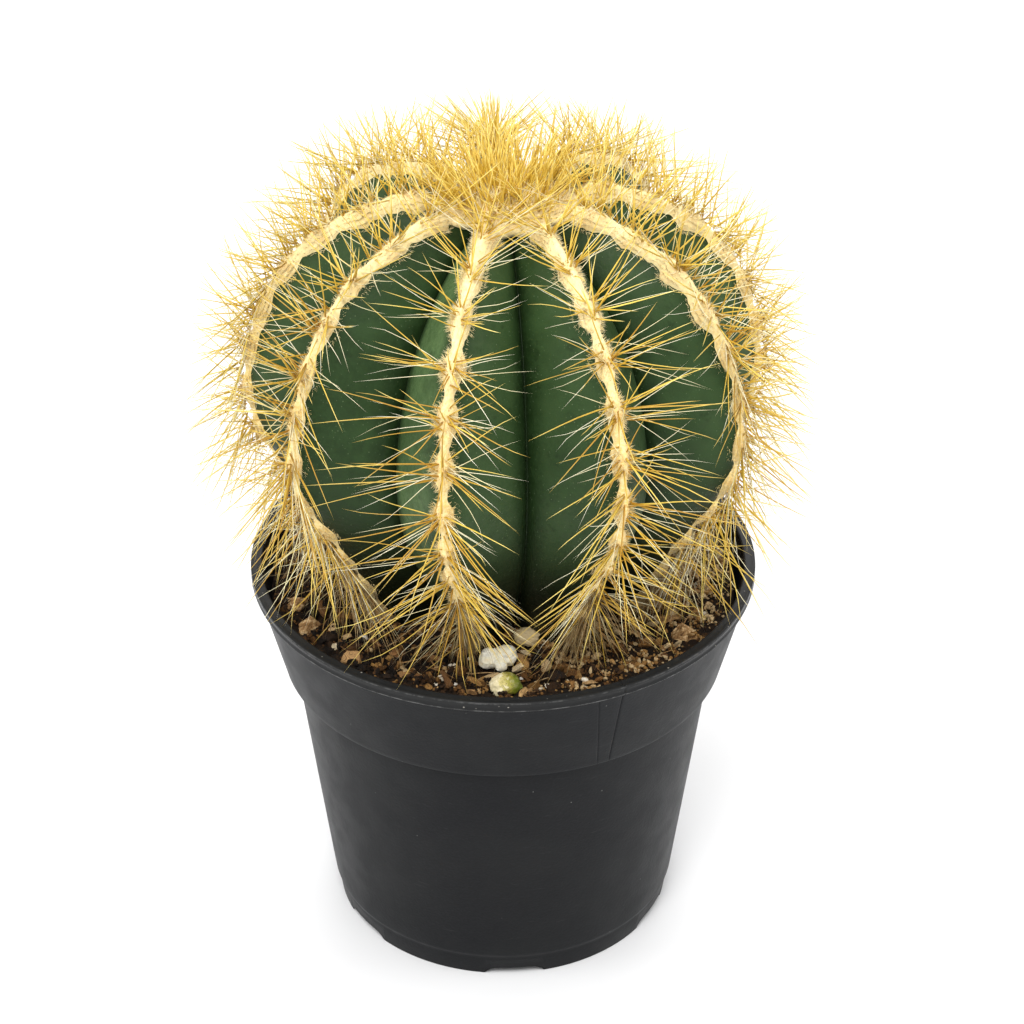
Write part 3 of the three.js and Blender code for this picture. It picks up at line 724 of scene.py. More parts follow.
def wool_strip(rib):
    u, half, height, from_areole = WOOL
    ends = smoothstep(0, 2.2, (u - u[0]) * CREST_LENGTH)
    ends = ends * smoothstep(0, 2.2, (u[-1] - u) * CREST_LENGTH)
    half, height = half * (0.35 + 0.65 * ends), height * (0.15 + 0.85 * ends)
    wander = np.stack([u * CREST_LENGTH, np.full_like(u, 9.0 * rib), u * 0], -1)
    half = half * (1 + 0.26 * field(wander, 2.1, 21)) + 0.18 * field(wander, 0.8, 25)
    half = np.maximum(half, 0.12)
    middle = 0.3 * field(wander, 6, 22)
    _, _, out, _ = crest_frame(rib, u)
    t = np.linspace(-1, 1, 11)
    x = middle[:, None] + half[:, None] * t
    radius = crest_at(u)[:, :1]
    across = x / (np.radians(half_turn(rib, x)) * radius)
    skin = skin_at(rib, across, u[:, None])
    dome = (1 - np.abs(t) ** 2.4)[None] * height[:, None]
    top = skin + out[:, None] * (dome - 0.15 + 0.45 * (1 - t * t))[..., None]
    rough = 0.22 * field(top, 1.6, 23 + rib) + 0.1 * field(top, 0.7, 24)
    top = top + out[:, None] * (rough * (1 - t**4))[..., None]
    under = skin[:, 9:0:-4] - out[:, None] * 0.9
    ring = np.concatenate([top[:, ::-1], under[:, ::-1]], 1)
    rows, count = ring.shape[:2]
    ends = np.array([ring[0].mean(0), ring[-1].mean(0)])
    near_root = np.exp(-(((from_areole + 0.8) / 1.8) ** 2))
    tone = np.repeat(near_root * 0.3, count).reshape(rows, count)
    tone[:, :2] += 0.08
    tone[:, 9:] += 0.08
    along = np.linspace(0, 1, rows)[:, None]
    strip = capped(ring, ends, along, np.clip(tone, 0, 1), (0, 1), clockwise=True)
    return strip, top, out


def fuzz(roots, ways, rng, length, radius):
    """Short fine straight hairs. Length and radius are (least, most)."""
    count = len(roots)
    far = rng.uniform(*length, count)[:, None]
    paths = np.stack([roots, roots + unit(ways) * far], 1)
    radii = np.repeat(rng.uniform(*radius, count)[:, None], 2, 1)
    return tubes(paths, radii, 3, rng.uniform(0, 0.4, count) ** 2)


def make_rib_wool(rib, material):
    rng = np.random.default_rng(300 + rib)
    strip, top, out = wool_strip(rib)
    rows = len(top)
    u, half, height, from_areole = WOOL
    number = WOOL_HAIRS
    weight = half * np.maximum(height, 0) * (0.25 + np.exp(-(((from_areole + 0.8) / 2.8) ** 2)))
    row = rng.choice(rows, number, p=weight / weight.sum())
    # Most of the hairs grow along the strip's two edges.
    edge = rng.random(number) < 0.6
    column = np.where(edge, rng.choice([0, 1, 2, 8, 9, 10], number), rng.integers(1, 10, number))
    _, along, _, around = crest_frame(rib, u)
    side = (column - 5) / 5 * rng.uniform(0.5, 1.3, number) + rng.normal(0, 0.2, number)
    away = np.clip((from_areole[row] + 0.8) / 2.5, -1, 1) * (np.abs(from_areole[row]) < 4.5)
    ways = out[row] * rng.uniform(0.05, 0.8, number)[:, None] + around[row] * side[:, None]
    ways = ways + along[row] * (away * 0.8 - 0.1)[:, None] + rng.normal(0, 0.22, (number, 3))
    slip = rng.uniform(-0.24, 0.24, (2, number, 1))
    roots = top[row, column] - out[row] * 0.12 + along[row] * slip[0] + around[row] * slip[1]
    hairs = fuzz(roots, ways, rng, (0.45, 1.5), (0.05, 0.09))
    hairs.along = np.repeat(row / (rows - 1), len(hairs.points) // number)
    shape = joined([strip, hairs])
    piece(f"rib_wool_{rib + 1}", shape, material, "wool", f"rib_spines_{rib + 1}")


# Spines


def blocked(paths, reach):
    """Where along each path (count, rings, 3) it first meets skin, soil, rim, grain or its
    own share of the plant's outline, as an index, or the number of rings."""
    x, y, z = paths[..., 0], paths[..., 1], paths[..., 2]
    r = np.hypot(x, y)
    across, deep, up = np.moveaxis(np.abs(paths - (0, 0, GLOBE_Z)) / (REACH, REACH, REACH_UP), -1, 0)
    outside = across**2.7 + (deep**2.1 + up**2.1) ** (2.7 / 2.1) > (reach**2.7)[:, None]
    rim = (r > RIM_INNER_R - 1.4) & (r < RIM_R + 0.8) & (z < POT_HEIGHT + 0.5)
    rim |= (r > RIM_INNER_R - 3) & (z < POT_HEIGHT + 4) & (y < -0.8 * np.abs(x))
    rings = paths.shape[1]
    early = np.arange(rings)[None] < rings * 0.3
    inside = (off_skin(paths) < 0.15) & ~early
    hit = outside | rim | (z < SOIL_Z + 0.6) | inside
    for gx, gy, g in GRAINS[:3]:
        hit |= (np.hypot(x - gx, y - gy + (z - 79) * 1.2) < g - 0.5) & (z < 88)
    return np.where(hit.any(1), hit.argmax(1), rings)


def grown(roots, ways, length, bend, wave, reach, rings):
    """Curved paths, cut short where they would meet something, and their lengths."""
    t = np.linspace(0, 1, 25)[None, :, None]
    ways = unit(ways)

    def path(share, t):
        far = (length * share)[:, None, None]
        curve = bend[:, None] * t * t + wave[:, None] * (t**3 - t * t)
        return roots[:, None] + (ways[:, None] * t + curve) * far

    share = np.ones(len(roots))
    for _ in range(3):
        hit = blocked(path(share, t), reach)
        share = share * np.where(hit < 25, np.maximum(hit - 1, 0) / 24, 1)
    return path(share, np.linspace(0, 1, rings)[None, :, None]), length * share


def bends(rng, number, curl):
    """Two random bends for each spine, the second up to twice as strong."""
    return [
        unit(rng.normal(size=(number, 3))) * rng.uniform(0, most, number)[:, None]
        for most in (curl, 2 * curl)
    ]


def needles_of(roots, ways, length, bend, wave, reach, radius, tones, rings=6):
    """Tapered needles, without those that are cut too short."""
    paths, long = grown(roots, ways, length, bend, wave, reach, rings)
    keep = long > SHORTEST_SPINE
    taper = 1 - 0.75 * np.linspace(0, 1, rings) ** 1.2
    return tubes(paths[keep], (radius[:, None] * taper)[keep], 3, tones[keep])


# Kinds of spine of an areole: bearings and their spread (0 to the right, 90 up the crest),
# lean from the way out, length, radius at the root and tone. Central spines and haze get their
# bearings where they are drawn.
SIDE = dict(
    bearing=(0, 180), spread=21, lean=(45, 82), length=(13, 28),
    radius=(0.14, 0.22), tone=(0, 0.46),
)
ROUND = dict(
    bearing=(30, 80, 140, -50, -90, -140), spread=40, lean=(34, 76), length=(8, 18),
    radius=(0.12, 0.18), tone=(0, 0.46),
)
CENTRAL = dict(spread=38, lean=(16, 58), length=(16, 29), radius=(0.15, 0.23), tone=(0, 0.46))
BRISTLE = dict(
    bearing=(0, 180), spread=22, lean=(58, 84), length=(9, 22),
    radius=(0.08, 0.11), tone=(0.82, 1),
)
HAZE = dict(spread=36, lean=(8, 46), length=(14, 28), radius=(0.09, 0.13), tone=(0.8, 0.9))
SKIRT = dict(
    bearing=(-90,), spread=55, lean=(40, 88), length=(9, 21), radius=(0.07, 0.1),
    tone=(0.65, 0.795),
)


def draw_spines(rng, rib, u, kind, number, turn, droop, scale, upright, curl, loose, tone=None):
    """The roots, ways, lengths, bends, waves, radii and tones of one kind of spine of an areole.
    Turn lifts the bearings on both sides by so many degrees; upright scales the lean; loose is
    how far the roots stray up and down the rib."""
    point, along, out, around = (v[0] for v in crest_frame(rib, np.full(1, u)))
    centre = np.resize(kind["bearing"], number).astype(float)
    centre = centre + turn * np.sign(np.cos(np.radians(centre)) + 0.01)
    b = np.radians(centre + rng.normal(0, kind["spread"], number))
    lean = np.radians(rng.uniform(*kind["lean"], number) * upright)
    c, s = np.cos(lean)[:, None], np.sin(lean)[:, None]
    ways = out * c + around * s * np.cos(b)[:, None] + along * s * np.sin(b)[:, None]
    # The roots lie in an oval round the wool's middle, inside the wool.
    steep = np.sin(lean)[:, None]
    spot = rng.uniform(0.2, 1.5, number)[:, None] * steep
    roots = point + around * np.cos(b)[:, None] * spot + along * (np.sin(b)[:, None] * spot * 1.2 - 0.8)
    roots = roots + out * (1.7 - 0.6 * steep) + along * rng.normal(0, loose, number)[:, None]
    length = rng.triangular(kind["length"][0], np.mean(kind["length"]) + 1, kind["length"][1], number)
    bend, wave = bends(rng, number, curl)
    bend = bend + np.array([0, 0, -droop])
    tones = rng.uniform(*(tone or kind["tone"]), number)
    return roots, ways, length * scale, bend, wave, rng.uniform(*kind["radius"], number), tones


def make_rib_needles(rib, material):
    rng = np.random.default_rng(500 + rib)
    # Towards the back, more spines point outwards.
    behind = (1 - math.cos(math.radians(RIBS[rib]))) / 2
    back, beside = min(1, 3 * behind), behind > 0.15
    thick, thin = [], []
    for i, u in enumerate(AREOLES):
        share = i / (len(AREOLES) - 1)
        low, high = 1 - float(smoothstep(0.0, 0.3, share)), float(smoothstep(0.66, 0.95, share))
        lower = 1 - float(smoothstep(0.0, 0.5, share))
        turn = -42 + 54 * float(smoothstep(0.0, 1.0, share))
        args = dict(droop=0.03 + 0.22 * low - 0.1 * high, scale=rng.uniform(0.9, 1.06))
        args |= dict(upright=1 - 0.2 * high, loose=1.2 + 1.9 * back, curl=0.15 + 0.3 * low)
        # Spines low down get darker tones, partly for their age and partly as painted shade; spines high up
        # or towards the back get paler ones, partly for youth and partly as painted light.
        bright = (0.2, 0.56) if high > 0.3 or behind > 0.4 else None
        args["tone"] = (0.565, 0.74) if low > 0.6 else (0.0, 0.3) if low > 0.2 else bright
        number = 12 - int(10 * (lower if beside else low)) - int(5 * high * (1 - behind))
        number += 3 * (behind > 0.4)
        thick.append(draw_spines(rng, rib, u, SIDE, number, turn, **args))
        thick.append(draw_spines(rng, rib, u, ROUND, 4 - int(2 * low), 0, **args))
        # The lower half's outward spines point down, and the upper half's point both ways.
        ways = (-90,) if share < 0.5 else (90, -90) if share < 0.8 or not beside else (90, -90, -90)
        number = max(int((3 + int(9 * back)) * (1 - 0.78 * lower)), 2)
        centre = dict(CENTRAL, bearing=ways)
        if beside:
            centre |= dict(lean=(8, 44), spread=30)
        args["tone"] = (0.0, 0.2) if low > 0.2 else bright
        thick.append(draw_spines(rng, rib, u, centre, number, 0, **args))
        args |= dict(tone=(0.62, 0.86) if low > 0.4 else None, curl=0.2)
        number = 13 - int(5 * high) - int(5 * low)
        thin.append(draw_spines(rng, rib, u, BRISTLE, number, turn - 6, **args))
        args["tone"] = None
        number = int(12 * back * (1 - lower) * (1 - 0.7 * high))
        thin.append(draw_spines(rng, rib, u, dict(HAZE, bearing=ways), number, 0, **args))
        if low > 0.3:
            args |= dict(droop=0.3, curl=0.5)
            thin.append(draw_spines(rng, rib, u, SKIRT, SKIRT_HAIRS, 0, **args))
    shapes = []
    for drawn, rings in ((thick, 6), (thin, 5)):
        roots, ways, length, bend, wave, radius, tones = (np.concatenate(x) for x in zip(*drawn))
        reach = 1 - 0.08 * rng.random(len(roots)) ** 2
        shapes.append(needles_of(roots, ways, length, bend, wave, reach, radius, tones, rings))
    name = f"rib_needles_{rib + 1}"
    piece(name, joined(shapes), material, "spines", f"rib_spines_{rib + 1}", mapped=True)


# Crown


def make_crown(wool, needles):
    rng = np.random.default_rng(77)
    rings, count = 22, 96
    share = np.linspace(1, 0.03, rings)[:, None]
    degrees = np.linspace(0, 360, count, endpoint=False)[None]
    lobes = 0.03 * np.cos(np.radians(degrees * 5))
    edge = CROWN_WOOL_R * (1.05 - 0.16 * valley_share(degrees) ** 1.5 + lobes)
    radius = edge * share
    z = 166.4 + 2.9 * (1 - share**3.2)
    top = polar(radius, degrees, z)
    rough = 0.4 * field(top, 2.4, 41) + 0.25 * field(top, 0.8, 42)
    top[..., 2] += rough * smoothstep(0, 0.15, 1 - share)
    under = polar(edge * 0.9, degrees, 164.8)[0][None]
    ends = np.array([polar(0, 0, 164.6), polar(0, 0, 170.2)])
    tone = np.append(0.5, 0.15 + 0.5 * (1 - share))[:, None]
    dome = capped(np.concatenate([under, top]), ends, 0.9, tone, 0.9, (0.5, 0.7))
    number = CROWN_HAIRS
    pick = rng.integers(0, rings - 4, number), rng.integers(0, count, number)
    roots = top[pick] + rng.uniform(-0.45, 0.45, (number, 3)) * (1, 1, 0.2)
    outward = unit((roots - (PLANT_X, 0, 0)) * (1, 1, 0))
    ways = outward * rng.uniform(0, 1.2, number)[:, None] + (0, 0, 1)
    ways = ways + rng.normal(0, 0.5, (number, 3))
    hairs = fuzz(roots, ways, rng, (0.8, 2.2), (0.04, 0.075))
    hairs.along = np.full(len(hairs.points), 0.9)
    piece("crown_wool", joined([dome, hairs]), wool, "wool", "crown_spines")

    # The young spines stand in small clumps, and a few lean out over the wool's edge.
    clumps, each, edge = 58, 7, 110
    number = clumps * each + edge
    share = np.sqrt((np.arange(clumps) + 0.5) / clumps)
    degrees = np.arange(clumps) * 137.508 + rng.uniform(-14, 14, clumps)
    lean = share * 45 + rng.normal(0, 11, clumps)
    turn = degrees + rng.normal(0, 25, clumps)
    share = np.append(np.repeat(share, each), rng.uniform(0.85, 1.12, edge))
    degrees = np.append(np.repeat(degrees, each), rng.uniform(0, 360, edge))
    lean = np.radians(np.append(np.repeat(lean, each), rng.uniform(20, 76, edge)))
    a = np.radians(np.append(np.repeat(turn, each), degrees[-edge:] + rng.normal(0, 30, edge)))
    ways = np.stack([np.sin(a) * np.sin(lean), -np.cos(a) * np.sin(lean), np.cos(lean)], -1)
    ways = ways + rng.normal(0, 0.15, (number, 3))
    roots = polar(share * (CROWN_WOOL_R - 4), degrees, 0) + rng.normal(0, 0.7, (number, 3)) * (1, 1, 0)
    from_middle = np.hypot(roots[:, 0] - PLANT_X, roots[:, 1]) / CROWN_WOOL_R
    roots[:, 2] = 166 + 2.9 * (1 - np.minimum(from_middle, 1) ** 3.2)
    length = rng.uniform(8, 18, number)
    bend, wave = bends(rng, number, 0.25)
    reach = 1 - 0.12 * rng.random(number)
    radius, tones = rng.uniform(0.14, 0.23, number), rng.uniform(0.25, 0.56, number)
    tuft = needles_of(roots, ways, length, bend, wave, reach, radius, tones)
    piece("crown_needles", tuft, needles, "spines", "crown_spines", mapped=True)


# Pot


def pot_profile():
    """(radius, height) round the moulding's section, outside first from the floor's middle."""
    r, h = RIM_R, POT_HEIGHT
    outside = [
        (0, 2.6), (20, 2.6), (25, 2.6), (31, 2.6), (34.3, 2.6), (34.5, 2.4), (34.5, 0.25),
        (34.65, 0.05), (34.8, 0), (35.4, 0), (35.6, 0.08), (35.7, 0.3), (36.3, 4.4), (36.42, 4.95),
        (36.56, 5.3), (36.72, 5.6), (36.84, 5.9),
    ]
    steps = [(36.7 + (44.1 - 36.7) * t, 4.4 + (60.2 - 4.4) * t) for t in np.linspace(0.035, 0.985, 16)]
    collar = [
        (44.05, 59.9), (44.2, 60.3), (44.5, 60.45), (45.9, 60.6), (46.25, 60.75), (46.42, 61.1),
    ]
    rise = [(46.4 + 5.2 * t, 61.1 + 19.8 * t) for t in np.linspace(0.04, 0.985, 12)]
    rim = [
        (51.6, 80.9), (51.7, 81.05), (52.2, 81.15), (52.42, 81.22), (52.52, 81.36), (52.5, 81.55),
        (52.38, 81.8), (52.38, 82.3), (r - 0.02, h - 0.75), (r + 0.05, h - 0.5), (r + 0.02, h - 0.28),
        (r - 0.12, h - 0.1), (r - 0.35, h - 0.03), (r - 0.6, h - 0.06), (r - 0.9, h - 0.12),
        (r - 1.4, h - 0.12), (r - 1.8, h - 0.04), (50.4, h - 0.06), (50.22, h - 0.18), (50.12, h - 0.4),
        (RIM_INNER_R, h - 0.8),
    ]
    inside = [(RIM_INNER_R - 4.9 * t, 82.6 - 21.1 * t) for t in np.linspace(0.04, 0.99, 8)]
    inside += [(45.1, 61.3), (44.4, 60.5), (42.95, 59.8)]
    inside += [(42.9 - 7.2 * t, 59.7 - 55.9 * t) for t in np.linspace(0.03, 0.98, 8)]
    inside += [(35.6, 3.85), (35.3, 3.8), (31, 3.8), (25, 3.8), (0, 3.8)]
    return np.array(outside + steps + collar + rise + rim + inside)


def pot_azimuths():
    """Columns round the pot, closer together at the two parting lines of the collar."""
    base = np.arange(0, 360, 1.5)
    extra = [line + d for line in PARTING_LINES for d in (-0.5, -0.22, -0.1, 0, 0.1, 0.22, 0.5)]
    free = np.min([np.abs(base - line) for line in PARTING_LINES], 0) > 0.9
    return np.sort(np.concatenate([base[free], extra]))


def pot_cutters():
    """What is cut out of the pot: six shallow notches of the foot ring, and six drain holes."""
    outline = [(-6.8, -2), (6.8, -2), (6.3, 0.2), (5.7, 0.9), (5.0, 1.35), (4.2, 1.6), (3.2, 1.7)]
    outline += [(-x, h) for x, h in outline[:1:-1]]
    turn = np.radians(np.arange(HOLE_SIDES) * 360 / HOLE_SIDES)
    circle = np.stack([3 * np.cos(turn), 3 * np.sin(turn), 0 * turn], 1)
    cutters = []
    for i in range(6):
        a = math.radians(4 + 60 * i)
        across = np.array([math.cos(a), math.sin(a), 0])
        away = np.array([math.sin(a), -math.cos(a), 0])
        middles = np.array([away * (35.7 + d) for d in (-4.2, 4.2)])
        notch = [[middle + across * x + (0, 0, h) for x, h in outline] for middle in middles]
        cutters.append(capped(np.array(notch), middles))
        middles = np.array([away * 28 + (0, 0, h) for h in (-2, 8)])
        cutters.append(capped(middles[:, None] + circle, middles))
    return cutters


def make_pot():
    profile, degrees = pot_profile(), pot_azimuths()
    leaning, upright = PARTING_LINES
    r, z = profile[1:-1, :1], profile[1:-1, 1:]
    outer = np.arange(1, len(profile) - 1)[:, None] < np.argmax(profile[:, 1]) + 9
    window = np.clip(1 - np.abs(degrees - leaning) / 3.4, 0, 1)[None] ** 0.5
    window = np.where(degrees[None] < 25.1, window, 0)
    # One parting line leans: it runs from 21.4 degrees under the lip to 24.1 at the collar's foot.
    slant = (21.4 + (81 - np.clip(z, 61, 81)) * 2.7 / 20 - leaning) * window
    turned = degrees[None] + np.where((z > 59) & outer, slant, 0)
    collar = smoothstep(60.6, 62, z) * outer
    first = np.exp(-(((degrees[None] - leaning) / 0.13) ** 2)) * collar * (z < 81)
    second = np.exp(-(((degrees[None] - upright) / 0.16) ** 2)) * collar
    dent = 0.12 * first + 0.17 * second
    warp = 0.12 * np.sin(np.radians(2 * degrees[None] + 40)) * smoothstep(5, 80, z)
    points = polar(r + warp - dent, turned, z, 0)
    points[..., 2] -= 0.16 * second * (z > 82)
    ends = np.array([polar(0, 0, 2.6, 0), polar(0, 0, 3.8, 0)])
    row = np.arange(1, len(points) + 1)
    # The lip's top and the bead's foot are painted paler: partly wear, partly painted highlight lines.
    wear_and_highlight = 0.35 * (row == WORN_AND_LIT_TOP) + 0.8 * (row == WORN_AND_LIT_FOOT)
    shape = capped(points, ends, tone=wear_and_highlight[:, None])
    pot = piece("nursery_pot", shape, pot_material(), "pot_plastic", "pot", sharp=38)
    cutter = bpy.data.objects.new("cutter", mesh_of("cutter", joined(pot_cutters())))
    bpy.context.scene.collection.objects.link(cutter)
    cut = pot.modifiers.new("holes", "BOOLEAN")
    cut.operation, cut.solver, cut.object = "DIFFERENCE", "EXACT", cutter
    bpy.context.view_layer.update()
    depsgraph = bpy.context.evaluated_depsgraph_get()
    mesh = bpy.data.meshes.new_from_object(pot.evaluated_get(depsgraph))
    pot.modifiers.clear()
    pot.data = mesh
    bpy.data.objects.remove(cutter)


# Potting mix


BALLS = [ico(n) for n in range(5)]


def lump_shape(ball, at, half, seed, rough=0.25, tone=0.0):
    """A rough grain: a ball with dents, scaled and placed."""
    points, tris = BALLS[ball]
    dents = field(points, 0.9, seed) + 0.5 * field(points, 0.4, seed) + 0.3 * field(points, 0.15, seed)
    p = points * (1 + rough * dents)[:, None]
    return Shape(p * half + at, tris=tris, along=0.5, tone=tone)


def wall_radius(z):
    """The inside of the pot's collar, less a small gap."""
    return RIM_INNER_R - 4.9 * (82.6 - z) / 21.1 - 0.45


def scattered(rng, number, inner, outer, clear=0.0):
    """Places on the bed between the plant and the wall, clear of the larger grains."""
    found = []
    while len(found) < number:
        r = math.sqrt(rng.uniform(inner**2, outer**2))
        a = rng.uniform(0, 2 * math.pi)
        x, y = r * math.sin(a), -r * math.cos(a)
        if all(math.hypot(x - gx, y - gy) > g * 0.82 + clear for gx, gy, g in GRAINS):
            found.append((x, y))
    return np.array(found)


def outside_skin(places, margin):
    x, y = places.T
    points = np.stack([x, y, np.full_like(x, SOIL_Z + 0.5)], -1)
    return places[off_skin(points) > margin]


def make_bed():
    radii = np.concatenate([np.linspace(48.4, 46.8, 4), np.linspace(46.2, 17, 56)])[:, None]
    degrees = np.linspace(0, 360, 320, endpoint=False)[None]
    flat = polar(radii, degrees, 0, 0)
    z = soil_height(flat[..., 0], flat[..., 1])
    for gx, gy, g in GRAINS:
        near = np.hypot(flat[..., 0] - gx, flat[..., 1] - gy)
        z = z - 0.7 * (1 - smoothstep(g * 0.6, g * 1.1, near))
    z[0] = z[0] - 1.4
    top = np.stack([flat[..., 0], flat[..., 1], z], -1)
    below = [(wall_radius(62.5) - 0.2, 62.5), (42.3, 59.5), (35.2, 4.2)]
    sides = np.stack([polar(r, degrees[0], h, 0) for r, h in reversed(below)])
    ends = np.array([polar(0, 0, 4.2, 0), polar(0, 0, SOIL_Z - 2, 0)])
    shape = capped(np.concatenate([sides, top]), ends)
    piece("soil_bed", shape, bed_material(), "potting_mix", "potting_mix")


def turns(angle, axis):
    """Rotation matrices about the x or z axis for an array of angles."""
    c, s, n = np.cos(angle), np.sin(angle), len(angle)
    matrix = np.zeros((n, 3, 3))
    i, j = [k for k in range(3) if k != axis]
    matrix[:, axis, axis] = 1
    matrix[:, i, i], matrix[:, i, j], matrix[:, j, i], matrix[:, j, j] = c, s, -s, c
    return matrix


def chipped(rng, ball, number, cuts):
    """Copies of a ball's points (number, points, 3), each cut by its own planes."""
    p = np.repeat(BALLS[ball][0][None], number, 0)
    for _ in range(cuts):
        normal = unit(rng.normal(size=(number, 1, 3)))
        over = np.maximum((p * normal).sum(-1) - rng.uniform(0.3, 0.75, (number, 1)), 0)
        p = p - over[..., None] * normal
    return p


def litter(rng, places, sizes, ball, tones, tilt=1.2, sink=0.25, cuts=6, thin=1.0, slim=0.6, lift=0.0):
    """Angular grains on the bed: balls cut by planes, then scaled, turned and placed."""
    points, tris = BALLS[ball]
    n = len(places)
    p = chipped(rng, ball, n, cuts)
    own = rng.uniform(0, 50, (n, 1, 3))
    along = 0.5 + 0.5 * field(p + own, 0.7, 5)
    p = p * (1 + 0.26 * field(p + own, 0.45, 6))[..., None]
    half = np.stack([np.ones(n), rng.uniform(slim, 1, n), rng.uniform(0.45, 0.8, n) * thin], 1)
    half = half * sizes[:, None]
    turn = turns(rng.uniform(0, 6.3, n), 2) @ turns(rng.normal(0, tilt, n), 0)
    turn = turn @ turns(rng.uniform(0, 6.3, n), 2)
    p = (p * half[:, None]) @ turn
    lie = -p[..., 2].min(1) * (1 - 2 * sink)
    p = p + np.stack([*places.T, soil_height(*places.T) + lie + lift], 1)[:, None]
    faces = (tris + (np.arange(n) * len(points))[:, None, None]).reshape(-1, 3)
    return Shape(p.reshape(-1, 3), tris=faces, along=along.ravel(), tone=np.repeat(tones, len(points)))


def paler_right(tones, places):
    """Litter tones, raised towards the right: partly a paler mix there, partly painted light against the
    shade of the spines above.
    """
    x = places[:, 0]
    return (tones + 0.006 * x + 0.008 * np.maximum(x, 0)).clip(0, 1)


def on_bed(rng, number, near, far, margin, clear=0.0):
    """Random places on the bed between two radii, and off the skin by the margin."""
    return outside_skin(scattered(rng, number, near, far, clear), margin)


def strew(rng, name, material, places, sizes, ball, tones, sharp=24, **form):
    """One piece of many loose grains."""
    grains = litter(rng, places, sizes, ball, tones, **form)
    piece(name, grains, material, "potting_mix", "potting_mix", mapped=True, sharp=sharp)


def strew_peat(rng):
    """Crumbs, crumbly clumps of small grains, and dust."""
    brown = (
        (0.0, (24, 15, 7)), (0.3, (60, 39, 18)), (0.55, (122, 83, 40)),
        (0.8, (184, 140, 80)), (1.0, (230, 200, 150)),
    )
    crumbs = litter_material("peat_crumbs", *brown, depth=0.15, dark=0.8)
    places = on_bed(rng, 950, 18, 46.9, 0.2)
    sizes = rng.gamma(3.2, 0.32, len(places)).clip(0.4, 2.1)
    tones = paler_right(rng.beta(0.9, 1.6, len(places)), places)
    strew(rng, "soil_crumbs", crumbs, places, sizes, 1, tones, slim=0.35)
    middles = on_bed(rng, 400, 18, 46.8, 0.3)
    group = np.repeat(np.arange(len(middles)), 15)
    spread = rng.normal(0, 0.8, (len(group), 2))
    lift = 1.3 * np.exp(-(spread**2).sum(1) / 1.1) * rng.random(len(group))
    places = middles[group] + spread
    inside = (np.hypot(*places.T) < 47.8) & (off_skin(np.append(places, 0 * places[:, :1] + SOIL_Z, 1)) > 0.2)
    tones = rng.beta(1.0, 1.9, len(middles))[group] + rng.normal(0, 0.2, len(group))
    tones = paler_right(tones, places)
    places, lift, tones = places[inside], lift[inside], tones[inside]
    sizes = rng.uniform(0.25, 0.75, len(places))
    strew(rng, "soil_clumps", crumbs, places, sizes, 0, tones, sink=0.1, cuts=2, slim=0.5, lift=lift)
    places = on_bed(rng, 3000, 18, 48.0, 0.0)
    sizes = rng.uniform(0.2, 0.5, len(places))
    tones = paler_right(rng.beta(1.1, 1.3, len(places)), places)
    strew(rng, "soil_dust", crumbs, places, sizes, 0, tones, sink=0.15, cuts=2, slim=0.3)


def fibre_shape(rng):
    """Thin bent roots that lie on the bed."""
    places = on_bed(rng, 150, 20, 44, 0.5)
    number = len(places)
    z = soil_height(*places.T) + rng.uniform(0.2, 1.0, number)
    a = rng.uniform(0, 2 * math.pi, number)
    t = np.linspace(0, 1, 9)[None, :, None]
    length = rng.uniform(3, 11, number)[:, None, None]
    way = np.stack([np.cos(a), np.sin(a), rng.normal(0.03, 0.1, number)], -1)[:, None]
    bow = np.stack([-np.sin(a), np.cos(a), 0 * a], -1)[:, None] * rng.normal(0, 0.35, number)[:, None, None]
    arch = np.array([0, 0, 1.0]) * rng.uniform(0, 0.25, number)[:, None, None]
    start = np.concatenate([places, z[:, None]], 1)[:, None]
    paths = start + way * length * (t - 0.5) + (bow * (t - 0.5) ** 2 + arch * t * (1 - t)) * length
    r = np.hypot(paths[..., 0], paths[..., 1]).max(1)
    inside = (r < 47.2) & (off_skin(paths).min(1) > 0.1)
    lift = np.maximum(soil_height(paths[..., 0], paths[..., 1]) + 0.15 - paths[..., 2], 0)
    paths[..., 2] += lift
    radii = np.broadcast_to(rng.uniform(0.09, 0.2, number)[:, None], (number, 9)) * np.linspace(1, 0.5, 9)
    return tubes(paths[inside], radii[inside], 4, rng.uniform(0.15, 0.8, number)[inside])


def strew_wood(rng):
    wood = (
        (0.0, (84, 56, 34)), (0.35, (140, 100, 60)), (0.6, (186, 146, 96)),
        (0.8, (218, 188, 140)), (1.0, (240, 222, 186)),
    )
    chips = litter_material("bark_bits", *wood, depth=0.15, dark=0.75)
    places = on_bed(rng, 200, 19, 46.2, 0.6, clear=0.5)
    sizes = rng.gamma(5, 0.3, len(places)).clip(0.7, 2.7)
    tones = rng.uniform(0, 1, len(places))
    strew(
        rng, "soil_bark", chips, places, sizes, 2, tones, sharp=28,
        tilt=0.5, sink=0.15, cuts=7, thin=0.6, slim=0.3,
    )
    piece("soil_fibres", fibre_shape(rng), chips, "potting_mix", "potting_mix", mapped=True)


